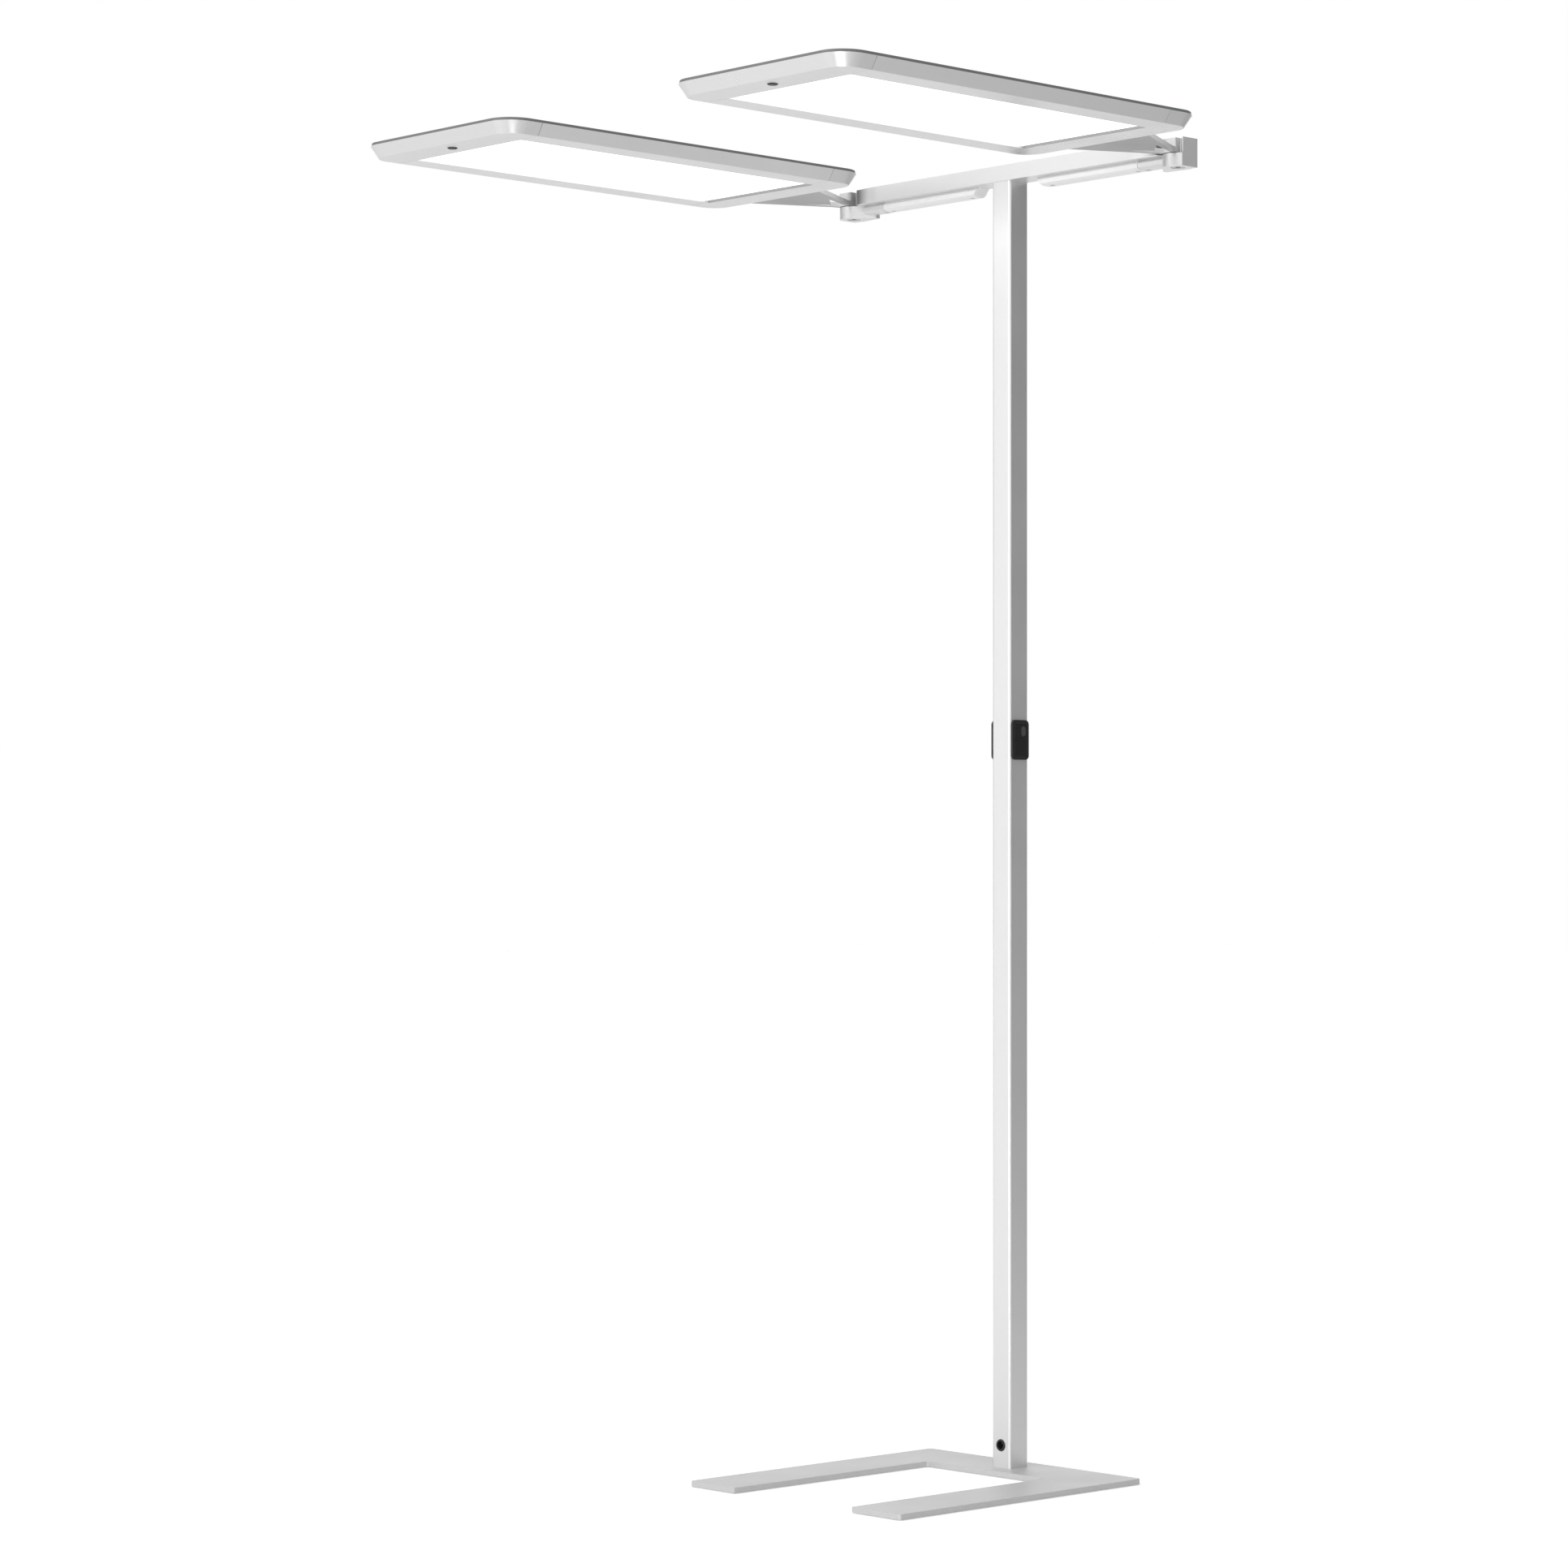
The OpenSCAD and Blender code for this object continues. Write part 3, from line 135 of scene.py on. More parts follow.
# a thin veil of dust on what faces up, broken up by a soft noise
def makeDustGroup():
    group, start, end = newGroup("restingDust",
        [("Amount", "NodeSocketFloat", 0.2)], [("Mask", "NodeSocketFloat")])
    coords = addNode(group, "ShaderNodeTexCoord")
    geometry = addNode(group, "ShaderNodeNewGeometry")
    split = addNode(group, "ShaderNodeSeparateXYZ")
    facing = addNode(group, "ShaderNodeMapRange", From_Min=0.6)
    cloud = addNode(group, "ShaderNodeTexNoise", Scale=14.0, Detail=6.0, Roughness=0.62)
    broken = addNode(group, "ShaderNodeMapRange", From_Min=0.35, From_Max=0.75)
    both = addNode(group, "ShaderNodeMath", operation="MULTIPLY")
    scaled = addNode(group, "ShaderNodeMath", operation="MULTIPLY")
    link = group.links.new
    link(geometry.outputs["True Normal"], split.inputs["Vector"])
    link(split.outputs["Z"], facing.inputs["Value"])
    link(coords.outputs["Object"], cloud.inputs["Vector"])
    link(cloud.outputs["Fac"], broken.inputs["Value"])
    link(facing.outputs["Result"], both.inputs[0])
    link(broken.outputs["Result"], both.inputs[1])
    link(both.outputs["Value"], scaled.inputs[0])
    link(start.outputs["Amount"], scaled.inputs[1])
    link(scaled.outputs["Value"], end.inputs["Mask"])
    return group


# rubbed edges: where a rounded normal leaves the true one
def makeWearGroup():
    group, start, end = newGroup("rubbedEdges",
        [("Width", "NodeSocketFloat", 0.001), ("Amount", "NodeSocketFloat", 0.5)],
        [("Mask", "NodeSocketFloat")])
    rounded = addNode(group, "ShaderNodeBevel", samples=4)
    geometry = addNode(group, "ShaderNodeNewGeometry")
    dot = addNode(group, "ShaderNodeVectorMath", operation="DOT_PRODUCT")
    spread = addNode(group, "ShaderNodeMapRange", From_Min=0.995, From_Max=0.85)
    coords = addNode(group, "ShaderNodeTexCoord")
    patches = addNode(group, "ShaderNodeTexNoise", Scale=60.0, Detail=5.0, Roughness=0.6)
    broken = addNode(group, "ShaderNodeMapRange", From_Min=0.42, From_Max=0.62)
    both = addNode(group, "ShaderNodeMath", operation="MULTIPLY")
    scaled = addNode(group, "ShaderNodeMath", operation="MULTIPLY")
    link = group.links.new
    link(start.outputs["Width"], rounded.inputs["Radius"])
    link(rounded.outputs["Normal"], dot.inputs[0])
    link(geometry.outputs["True Normal"], dot.inputs[1])
    link(dot.outputs["Value"], spread.inputs["Value"])
    link(coords.outputs["Object"], patches.inputs["Vector"])
    link(patches.outputs["Fac"], broken.inputs["Value"])
    link(spread.outputs["Result"], both.inputs[0])
    link(broken.outputs["Result"], both.inputs[1])
    link(both.outputs["Value"], scaled.inputs[0])
    link(start.outputs["Amount"], scaled.inputs[1])
    link(scaled.outputs["Value"], end.inputs["Mask"])
    return group


# faces that look down, with a soft start: the mask of the painted shade on undersides
def makeUnderGroup():
    group, start, end = newGroup("facingDown",
        [("Start", "NodeSocketFloat", -0.55), ("Full", "NodeSocketFloat", -0.95)],
        [("Mask", "NodeSocketFloat")])
    geometry = addNode(group, "ShaderNodeNewGeometry")
    split = addNode(group, "ShaderNodeSeparateXYZ")
    facing = addNode(group, "ShaderNodeMapRange")
    link = group.links.new
    link(geometry.outputs["True Normal"], split.inputs["Vector"])
    link(split.outputs["Z"], facing.inputs["Value"])
    link(start.outputs["Start"], facing.inputs["From Min"])
    link(start.outputs["Full"], facing.inputs["From Max"])
    link(facing.outputs["Result"], end.inputs["Mask"])
    return group


# painted shade beside the recess of a hub, above Bottom and from Clear to Dark along X, on faces that
# look forward: Facing is the forward lean at which it is full
recessShadeLimits = {"outerX": 0.345, "easing": 1.6, "aboveBar": 0.001}


def makeRecessShadeGroup():
    group, start, end = newGroup("besideRecess",
        [("Clear", "NodeSocketFloat", 0.289), ("Dark", "NodeSocketFloat", 0.317),
         ("Bottom", "NodeSocketFloat", 1.9), ("Amount", "NodeSocketFloat", 0.8),
         ("Facing", "NodeSocketFloat", -0.4)],
        [("Mask", "NodeSocketFloat")])
    coords = addNode(group, "ShaderNodeTexCoord")
    place = addNode(group, "ShaderNodeSeparateXYZ")
    geometry = addNode(group, "ShaderNodeNewGeometry")
    facing = addNode(group, "ShaderNodeSeparateXYZ")
    across = addNode(group, "ShaderNodeMath", operation="ABSOLUTE")
    near = addNode(group, "ShaderNodeMapRange")
    eased = addNode(group, "ShaderNodeMath", operation="POWER")
    eased.inputs[1].default_value = recessShadeLimits["easing"]
    above = addNode(group, "ShaderNodeMath", operation="GREATER_THAN")
    front = addNode(group, "ShaderNodeMapRange", From_Min=-0.2)
    inside = addNode(group, "ShaderNodeMath", operation="LESS_THAN")
    inside.inputs[1].default_value = recessShadeLimits["outerX"]
    link = group.links.new
    link(coords.outputs["Object"], place.inputs["Vector"])
    link(geometry.outputs["True Normal"], facing.inputs["Vector"])
    link(place.outputs["X"], across.inputs[0])
    link(across.outputs["Value"], near.inputs["Value"])
    link(start.outputs["Clear"], near.inputs["From Min"])
    link(start.outputs["Dark"], near.inputs["From Max"])
    link(near.outputs["Result"], eased.inputs[0])
    link(place.outputs["Z"], above.inputs[0])
    link(start.outputs["Bottom"], above.inputs[1])
    link(facing.outputs["Y"], front.inputs["Value"])
    link(start.outputs["Facing"], front.inputs["From Max"])
    link(across.outputs["Value"], inside.inputs[0])
    mask = eased.outputs["Value"]
    for part in (above.outputs["Value"], inside.outputs["Value"], front.outputs["Result"],
                 start.outputs["Amount"]):
        both = addNode(group, "ShaderNodeMath", operation="MULTIPLY")
        link(mask, both.inputs[0])
        link(part, both.inputs[1])
        mask = both.outputs["Value"]
    link(mask, end.inputs["Mask"])
    return group


effects = {
    "grain": makeGrainGroup(),
    "pebble": makePebbleGroup(),
    "dust": makeDustGroup(),
    "wear": makeWearGroup(),
    "under": makeUnderGroup(),
    "recess": makeRecessShadeGroup(),
}


# materials, each from one dictionary of its finish

def startMaterial(name):
    material = bpy.data.materials.new(name)
    material.use_nodes = True
    tree = material.node_tree
    shader = tree.nodes["Principled BSDF"]
    return material, tree, shader


def useEffect(tree, name, **values):
    node = tree.nodes.new("ShaderNodeGroup")
    node.node_tree = effects[name]
    for key, value in values.items():
        node.inputs[key].default_value = value
    return node


def mixColours(tree, mask, first, second):
    mix = tree.nodes.new("ShaderNodeMix")
    mix.data_type = "RGBA"
    for socket, value in ((mix.inputs[6], first), (mix.inputs[7], second)):
        if isinstance(value, tuple):
            socket.default_value = (*value, 1)
        else:
            tree.links.new(value, socket)
    tree.links.new(mask, mix.inputs["Factor"])
    return mix.outputs[2]


def spreadValue(tree, source, low, high, fromLow=0.3, fromHigh=0.7):
    spread = tree.nodes.new("ShaderNodeMapRange")
    for key, value in (("From Min", fromLow), ("From Max", fromHigh), ("To Min", low), ("To Max", high)):
        spread.inputs[key].default_value = value
    tree.links.new(source, spread.inputs["Value"])
    return spread.outputs["Result"]


def shade(colour, factor):
    return tuple(min(1.0, part * factor) for part in colour)


dustColour = (0.62, 0.60, 0.57)
# near-black colour of the painted shade beside the hub recesses
recessShadeColour = (0.08, 0.08, 0.08)


# a surface with grain or pebble, faint patches and dust, and where asked rubbed edges, painted shade
# that darkens the underside or painted shade beside a recess
def surfaceMaterial(name, look):
    material, tree, shader = startMaterial(name)
    if "stretch" in look:
        texture = useEffect(tree, "grain", Stretch=look["stretch"], Depth=look["depth"])
    else:
        texture = useEffect(tree, "pebble", Size=look["size"], Depth=look["depth"])
    colour = mixColours(tree, texture.outputs["Value"],
                        shade(look["colour"], 1 - look["tone"]), shade(look["colour"], 1 + look["tone"]))
    colour = mixColours(tree, spreadValue(tree, texture.outputs["Patch"], 0, 1),
                        colour, shade(look["colour"], 1 - look["tone"] * 0.5))
    # painted shade: faces that look down take a darker colour
    if "under" in look:
        under = useEffect(tree, "under")
        colour = mixColours(tree, under.outputs["Mask"], colour, look["under"])
    # painted shade: a soft dark on forward faces beside the hub recess
    if "recess" in look:
        recess = useEffect(tree, "recess", Bottom=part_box("crossbar")[0][2] + recessShadeLimits["aboveBar"],
                           **look["recess"])
        colour = mixColours(tree, recess.outputs["Mask"], colour, recessShadeColour)
    dust = useEffect(tree, "dust", Amount=look["dust"])
    colour = mixColours(tree, dust.outputs["Mask"], colour, dustColour)
    if look.get("wear"):
        wear = useEffect(tree, "wear", Width=look["wearWidth"], Amount=look["wear"])
        colour = mixColours(tree, wear.outputs["Mask"], colour, look["bare"])
    tree.links.new(colour, shader.inputs["Base Color"])
    rough = spreadValue(tree, texture.outputs["Patch"],
                        look["roughness"] - look["spread"], look["roughness"] + look["spread"])
    tree.links.new(rough, shader.inputs["Roughness"])
    tree.links.new(texture.outputs["Normal"], shader.inputs["Normal"])
    shader.inputs["Metallic"].default_value = look.get("metallic", 0)
    return material


surfaceLooks = {
    "basePaint": {"colour": (0.635, 0.635, 0.635), "metallic": 0.35, "roughness": 0.46, "spread": 0.05,
                  "size": 1500.0, "depth": 0.25, "tone": 0.03, "dust": 0.10,
                  "wear": 0.25, "wearWidth": 0.0012, "bare": (0.70, 0.70, 0.69)},
    "poleAnodised": {"colour": (0.84, 0.84, 0.84), "metallic": 0.75, "roughness": 0.36, "spread": 0.05,
                     "stretch": (2600, 2600, 9), "depth": 0.10, "tone": 0.025, "dust": 0.06},
    "barAnodised": {"colour": (0.84, 0.84, 0.84), "metallic": 0.75, "roughness": 0.36, "spread": 0.05,
                    "stretch": (9, 2600, 2600), "depth": 0.10, "tone": 0.025, "dust": 0.10},
    # the soft dark beside the hub recess is painted shade
    "hingeAnodised": {"colour": (0.83, 0.83, 0.83), "metallic": 0.50, "roughness": 0.34, "spread": 0.05,
                      "stretch": (9, 2600, 2600), "depth": 0.10, "tone": 0.025, "dust": 0.06,
                      "recess": {"Clear": 0.287, "Dark": 0.317, "Amount": 0.9, "Facing": -0.4}},
    "boxAnodised": {"colour": (0.98, 0.98, 0.98), "metallic": 0.20, "roughness": 0.44, "spread": 0.05,
                    "stretch": (9, 2600, 2600), "depth": 0.10, "tone": 0.025, "dust": 0.06},
    "railAnodised": {"colour": (0.82, 0.82, 0.82), "metallic": 0.70, "roughness": 0.38, "spread": 0.05,
                     "stretch": (2600, 9, 2600), "depth": 0.10, "tone": 0.025, "dust": 0.06},
    "silverCasting": {"colour": (0.78, 0.78, 0.78), "metallic": 0.65, "roughness": 0.30, "spread": 0.05,
                      "size": 2200.0, "depth": 0.18, "tone": 0.03, "dust": 0.08},
    # the darker colour on the neck's underside and the soft dark beside its hub are painted shade
    "neckCasting": {"colour": (0.80, 0.80, 0.80), "metallic": 0.65, "roughness": 0.36, "spread": 0.05,
                    "size": 2200.0, "depth": 0.18, "tone": 0.03, "dust": 0.08, "under": (0.36, 0.36, 0.36),
                    "recess": {"Clear": 0.342, "Dark": 0.333, "Amount": 0.9, "Facing": -2.0}},
    "silverCap": {"colour": (0.70, 0.70, 0.70), "metallic": 0.5, "roughness": 0.40, "spread": 0.04,
                  "size": 2600.0, "depth": 0.10, "tone": 0.02, "dust": 0.10},
    "greyCover": {"colour": (0.20, 0.205, 0.21), "roughness": 0.42, "spread": 0.06,
                  "size": 1900.0, "depth": 0.20, "tone": 0.05, "dust": 0.12},
    "blackMoulded": {"colour": (0.015, 0.015, 0.016), "roughness": 0.48, "spread": 0.06,
                     "size": 2400.0, "depth": 0.22, "tone": 0.06, "dust": 0.05},
    "blackKey": {"colour": (0.011, 0.011, 0.012), "roughness": 0.34, "spread": 0.05,
                 "size": 3200.0, "depth": 0.08, "tone": 0.06, "dust": 0.04},
    "padRubber": {"colour": (0.03, 0.03, 0.03), "roughness": 0.8, "spread": 0.06,
                  "size": 1600.0, "depth": 0.3, "tone": 0.08, "dust": 0.1},
    "zincScrew": {"colour": (0.60, 0.60, 0.57), "metallic": 1.0, "roughness": 0.34, "spread": 0.08,
                  "size": 3000.0, "depth": 0.12, "tone": 0.05, "dust": 0.02},
    "brightScrew": {"colour": (0.90, 0.90, 0.89), "metallic": 0.6, "roughness": 0.42, "spread": 0.06,
                    "size": 3000.0, "depth": 0.10, "tone": 0.03, "dust": 0.0},
    "machinedBlock": {"colour": (0.62, 0.62, 0.61), "metallic": 1.0, "roughness": 0.38, "spread": 0.06,
                      "stretch": (2200, 40, 2200), "depth": 0.15, "tone": 0.05, "dust": 0.0},
    "carrierSheet": {"colour": (0.66, 0.66, 0.66), "metallic": 1.0, "roughness": 0.42, "spread": 0.07,
                     "stretch": (1800, 12, 1800), "depth": 0.12, "tone": 0.04, "dust": 0.0},
    "contactBrass": {"colour": (0.72, 0.53, 0.22), "metallic": 1.0, "roughness": 0.28, "spread": 0.06,
                     "size": 2600.0, "depth": 0.08, "tone": 0.05, "dust": 0.0},
    "whitePlastic": {"colour": (0.82, 0.82, 0.80), "roughness": 0.5, "spread": 0.05,
                     "size": 2400.0, "depth": 0.08, "tone": 0.02, "dust": 0.0},
    "greenBoard": {"colour": (0.03, 0.16, 0.08), "roughness": 0.4, "spread": 0.08,
                   "size": 1400.0, "depth": 0.12, "tone": 0.15, "dust": 0.0},
    # grey of the strip that paints shade on the rear wall of the light opening
    "sealGrey": {"colour": (0.30, 0.30, 0.30), "roughness": 0.75, "spread": 0.06,
                 "size": 1800.0, "depth": 0.15, "tone": 0.05, "dust": 0.0},
    "chipPhosphor": {"colour": (0.82, 0.66, 0.22), "roughness": 0.45, "spread": 0.05,
                     "size": 4000.0, "depth": 0.05, "tone": 0.05, "dust": 0.0},
    "whiteBoard": {"colour": (0.78, 0.80, 0.76), "roughness": 0.36, "spread": 0.06,
                   "size": 1400.0, "depth": 0.08, "tone": 0.03, "dust": 0.0},
    "printGrey": {"colour": (0.065, 0.065, 0.067), "roughness": 0.42, "spread": 0.04,
                  "size": 2600.0, "depth": 0.05, "tone": 0.03, "dust": 0.0},
}
materials = {name: surfaceMaterial(name, look) for name, look in surfaceLooks.items()}


# opal sheet, lit from behind: an even glow, very slightly warmer in patches
def opalMaterial(look):
    material, tree, shader = startMaterial("opalSheet")
    texture = useEffect(tree, "pebble", Size=look["size"], Depth=look["depth"])
    tree.links.new(mixColours(tree, texture.outputs["Value"], look["colour"], look["pale"]),
                   shader.inputs["Base Color"])
    tree.links.new(spreadValue(tree, texture.outputs["Patch"], *look["roughness"]),
                   shader.inputs["Roughness"])
    tree.links.new(texture.outputs["Normal"], shader.inputs["Normal"])
    glow = mixColours(tree, texture.outputs["Patch"], look["glow"], (1.0, 1.0, 1.0))
    tree.links.new(glow, shader.inputs["Emission Color"])
    shader.inputs["Emission Strength"].default_value = look["strength"]
    return material


materials["opalSheet"] = opalMaterial({
    "colour": (0.90, 0.90, 0.89), "pale": (0.95, 0.95, 0.94), "roughness": (0.42, 0.52),
    "size": 2600.0, "depth": 0.06, "glow": (1.0, 0.995, 0.985), "strength": 1.1})


# clear sheet with a faint haze and fine ribs along the head
def clearMaterial(name, look):
    material, tree, shader = startMaterial(name)
    grain = useEffect(tree, "grain", Stretch=look["stretch"], Depth=look["depth"])
    tree.links.new(grain.outputs["Normal"], shader.inputs["Normal"])
    tree.links.new(spreadValue(tree, grain.outputs["Patch"], *look["roughness"]),
                   shader.inputs["Roughness"])
    tree.links.new(mixColours(tree, grain.outputs["Value"], look["colour"], look["pale"]),
                   shader.inputs["Base Color"])
    shader.inputs["Transmission Weight"].default_value = look["clear"]
    shader.inputs["IOR"].default_value = look["bending"]
    return material


materials["clearSheet"] = clearMaterial("clearSheet", {
    "colour": (0.90, 0.93, 0.94), "pale": (0.97, 0.98, 0.98), "stretch": (900, 20, 900), "depth": 0.5,
    "roughness": (0.16, 0.24), "clear": 0.85, "bending": 1.49})


# smoked dome over the presence sensor
def smokedMaterial(look):
    material, tree, shader = startMaterial("smokedLens")
    texture = useEffect(tree, "pebble", Size=look["size"], Depth=look["depth"])
    tree.links.new(mixColours(tree, texture.outputs["Value"], look["colour"], look["pale"]),
                   shader.inputs["Base Color"])
    tree.links.new(spreadValue(tree, texture.outputs["Patch"], *look["roughness"]),
                   shader.inputs["Roughness"])
    tree.links.new(texture.outputs["Normal"], shader.inputs["Normal"])
    shader.inputs["Specular IOR Level"].default_value = look["specular"]
    return material


materials["smokedLens"] = smokedMaterial({
    "colour": (0.018, 0.018, 0.020), "pale": (0.05, 0.05, 0.055), "size": 1500.0, "depth": 0.15,
    "roughness": (0.22, 0.32), "specular": 0.16})
print("materials made:", len(materials))


# which finish each node gets

nodeFinish = {
    "base_plate": "basePaint", "floor_pads": "padRubber", "base_screws": "zincScrew",
    "foot_block": "machinedBlock", "pole": "poleAnodised", "pole_screws": "zincScrew",
    "inlet_socket": "blackMoulded", "inlet_pins": "contactBrass", "pole_cable": "padRubber",
    "top_block": "machinedBlock", "crossbar": "barAnodised", "bar_screws": "zincScrew",
    "bar_plugs": "silverCap", "hinge_housing": "hingeAnodised", "pivot_bushes": "contactBrass",
    "thrust_washers": "whitePlastic", "driver_housing": "boxAnodised", "circuit_boards": "greenBoard",
    "underside_screws": "zincScrew", "control_bezel": "blackMoulded", "key_up": "blackKey",
    "key_down": "blackKey", "neck": "neckCasting", "pivot_bolt": "zincScrew",
    "side_rails": "railAnodised", "front_cap": "silverCasting", "rear_cap": "silverCasting",
    "joint_plates": "machinedBlock", "carrier_plate": "carrierSheet", "led_boards": "whiteBoard",
    "reflector": "whitePlastic", "light_guide": "clearSheet", "diffuser": "opalSheet",
    "sensor_lens": "smokedLens", "top_cover": "greyCover", "uplight_lenses": "clearSheet",
    "head_screws": "brightScrew", "neck_screws": "zincScrew",
}


def finishOf(node):
    for side in sides:
        if node not in nodeFinish and node.endswith("_" + side):
            return nodeFinish[node[:-len(side) - 1]]
    return nodeFinish[node]


def setMaterial(piece, material):
    piece.data.materials.clear()
    piece.data.materials.append(material)


for nodeName, piece in cadNodes.items():
    setMaterial(piece, materials[finishOf(nodeName)])


# copies of the visible nodes with rounded edges: endGap draws the ends of the rails back, so that
# their seams show, and outerOnly leaves inner edges sharp, so that each key keeps its gap

softEdges = {
    "base_plate": {"width": 0.0010, "segments": 3},
    "pole": {"width": 0.0004, "segments": 2},
    "crossbar": {"width": 0.0006, "segments": 2},
    "driver_housing": {"width": 0.0008, "segments": 3},
    "hinge_housing": {"width": 0.0008, "segments": 3},
    "neck": {"width": 0.0009, "segments": 3},
    "side_rails": {"width": 0.0004, "segments": 2, "endGap": 0.0007},
    "front_cap": {"width": 0.0004, "segments": 2},
    "rear_cap": {"width": 0.0004, "segments": 2},
    "top_cover": {"width": 0.0006, "segments": 2},
    "control_bezel": {"width": 0.0006, "segments": 3, "outerOnly": True},
    "key_up": {"width": 0.0004, "segments": 3, "outerOnly": True},
    "key_down": {"width": 0.0004, "segments": 3, "outerOnly": True},
    "bar_plugs": {"width": 0.0003, "segments": 2},
}


# metres within which points merge or count as an end, and degrees above which an edge is rounded
# or shaded sharp
meshLimits = {"merge": 2e-6, "tiny": 1e-6, "atEnd": 1e-5, "flat": 0.6, "rounded": 32, "shadedSharp": 48}


def softenedMesh(source, look):
    bm = bmesh.new()
    bm.from_mesh(source.data)
    bmesh.ops.remove_doubles(bm, verts=bm.verts, dist=meshLimits["merge"])
    bmesh.ops.dissolve_degenerate(bm, edges=bm.edges, dist=meshLimits["tiny"])
    bmesh.ops.dissolve_limit(bm, angle_limit=math.radians(meshLimits["flat"]), verts=bm.verts,
                             edges=bm.edges, delimit=set())
    if "endGap" in look:
        for end, shift in ((min, look["endGap"]), (max, -look["endGap"])):
            edge = end(vert.co.y for vert in bm.verts)
            ring = [vert for vert in bm.verts if abs(vert.co.y - edge) < meshLimits["atEnd"]]
            bmesh.ops.translate(bm, verts=ring, vec=(0, shift, 0))
    sharp = [edge for edge in bm.edges
             if edge.is_manifold and edge.calc_face_angle(0) > math.radians(meshLimits["rounded"])
             and (edge.is_convex or "outerOnly" not in look)]
    bmesh.ops.bevel(bm, geom=sharp, offset=look["width"], segments=look["segments"], profile=0.5,
                    affect="EDGES", material=-1, clamp_overlap=True)
    bmesh.ops.recalc_face_normals(bm, faces=bm.faces)
    for face in bm.faces:
        face.smooth = True
    return bm


def finishPiece(name, bm, material, body):
    mesh = bpy.data.meshes.new(name)
    bm.to_mesh(mesh)
    bm.free()
    mesh.set_sharp_from_angle(angle=math.radians(meshLimits["shadedSharp"]))
    piece = bpy.data.objects.new(name, mesh)
    bpy.context.scene.collection.objects.link(piece)
    setMaterial(piece, material)
    weighted = piece.modifiers.new("weighted", "WEIGHTED_NORMAL")
    weighted.keep_sharp = True
    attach(piece, body)
    return piece


def camelName(node, ending):
    words = node.split("_")
    return words[0] + "".join(word.capitalize() for word in words[1:]) + ending


softCount = 0
for nodeName, source in sorted(cadNodes.items()):
    look = softEdges.get(nodeName) or softEdges.get(nodeName.rsplit("_", 1)[0])
    if look:
        shape = softenedMesh(source, look)
        piece = finishPiece(camelName(nodeName, "Shape"), shape, materials[finishOf(nodeName)],
                            source["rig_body"])
        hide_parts(nodeName)
        softCount += 1
print("rounded copies:", softCount)


# small pieces that the nodes don't hold

def blockShape(low, high, edge=0.0, segments=2):
    low, high = Vector(low), Vector(high)
    bm = bmesh.new()
    bmesh.ops.create_cube(bm, size=1.0)
    bmesh.ops.scale(bm, verts=bm.verts, vec=high - low)
    bmesh.ops.translate(bm, verts=bm.verts, vec=(low + high) / 2)
    if edge:
        bmesh.ops.bevel(bm, geom=bm.edges[:], offset=edge, segments=segments, profile=0.5,
                        affect="EDGES", material=-1, clamp_overlap=True)
    return bm


# grey strip that paints shade on the rear wall of the light opening
rearSeal = {"lipCover": 0.0037, "thickness": 0.0012, "sideGap": 0.0006, "edge": 0.0003}
for side in sides:
    low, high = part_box("diffuser_" + side)
    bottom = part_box("side_rails_" + side)[0][2]
    rear = high[1] - rearSeal["lipCover"]
    margin = rearSeal["lipCover"] + rearSeal["sideGap"]
    shadeStrip = blockShape((low[0] + margin, rear - rearSeal["thickness"], bottom + rearSeal["edge"]),
                      (high[0] - margin, rear, low[2]), rearSeal["edge"])
    piece = finishPiece("rearSeal" + side.capitalize(), shadeStrip, materials["sealGrey"], "head_" + side)

# rows of light chips on the two boards under the clear windows
chipRow = {"size": 0.0034, "height": 0.0007, "rim": 0.0004, "rise": 0.0003, "pitch": 0.0168,
           "endGap": 0.012, "flange": 0.003, "windowHalf": 0.030}
for side in sides:
    low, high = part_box("uplight_lenses_" + side)
    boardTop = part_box("led_boards_" + side)[1][2]
    rows = (low[0] + chipRow["flange"] + chipRow["windowHalf"],
            high[0] - chipRow["flange"] - chipRow["windowHalf"])
    start = low[1] + chipRow["flange"] + chipRow["endGap"]
    end = high[1] - chipRow["flange"] - chipRow["endGap"]
    count = int((end - start) / chipRow["pitch"]) + 1
    chips = bmesh.new()
    for x in rows:
        for index in range(count):
            y = start + (end - start) * index / (count - 1)
            body = bmesh.ops.create_cube(chips, size=1.0)["verts"]
            bmesh.ops.scale(chips, verts=body, vec=(chipRow["size"], chipRow["size"], chipRow["height"]))
            bmesh.ops.translate(chips, verts=body, vec=(x, y, boardTop + chipRow["height"] / 2))
            face = max({face for vert in body for face in vert.link_faces},
                       key=lambda item: item.calc_center_median().z)
            bmesh.ops.inset_individual(chips, faces=[face], thickness=chipRow["rim"], depth=0.0)
            bmesh.ops.translate(chips, verts=face.verts, vec=(0, 0, chipRow["rise"]))
    piece = finishPiece("lightChips" + side.capitalize(), chips, materials["chipPhosphor"], "head_" + side)

# pill-shaped touch mark and a small lamp on each upper key
keyMark = {"off": 0.0054, "rise": 0.0002, "sunk": 0.0002, "width": 0.0088, "height": 0.0150,
           "up": 0.0002, "lampWidth": 0.0042, "lampHeight": 0.0043, "lampDrop": 0.0042,
           "lampRise": 0.00035, "steps": 32}


def pillShape(width, height, depth):
    bm = bmesh.new()
    radius = width / 2
    bmesh.ops.create_circle(bm, cap_ends=True, segments=keyMark["steps"], radius=radius)
    stretch = height / 2 - radius
    for vert in bm.verts:
        vert.co.y += stretch if vert.co.y > meshLimits["tiny"] else -stretch
    made = bmesh.ops.extrude_face_region(bm, geom=bm.faces[:])["geom"]
    tops = [part for part in made if isinstance(part, bmesh.types.BMVert)]
    bmesh.ops.translate(bm, verts=tops, vec=(0, 0, depth))
    bmesh.ops.recalc_face_normals(bm, faces=bm.faces)
    return bm


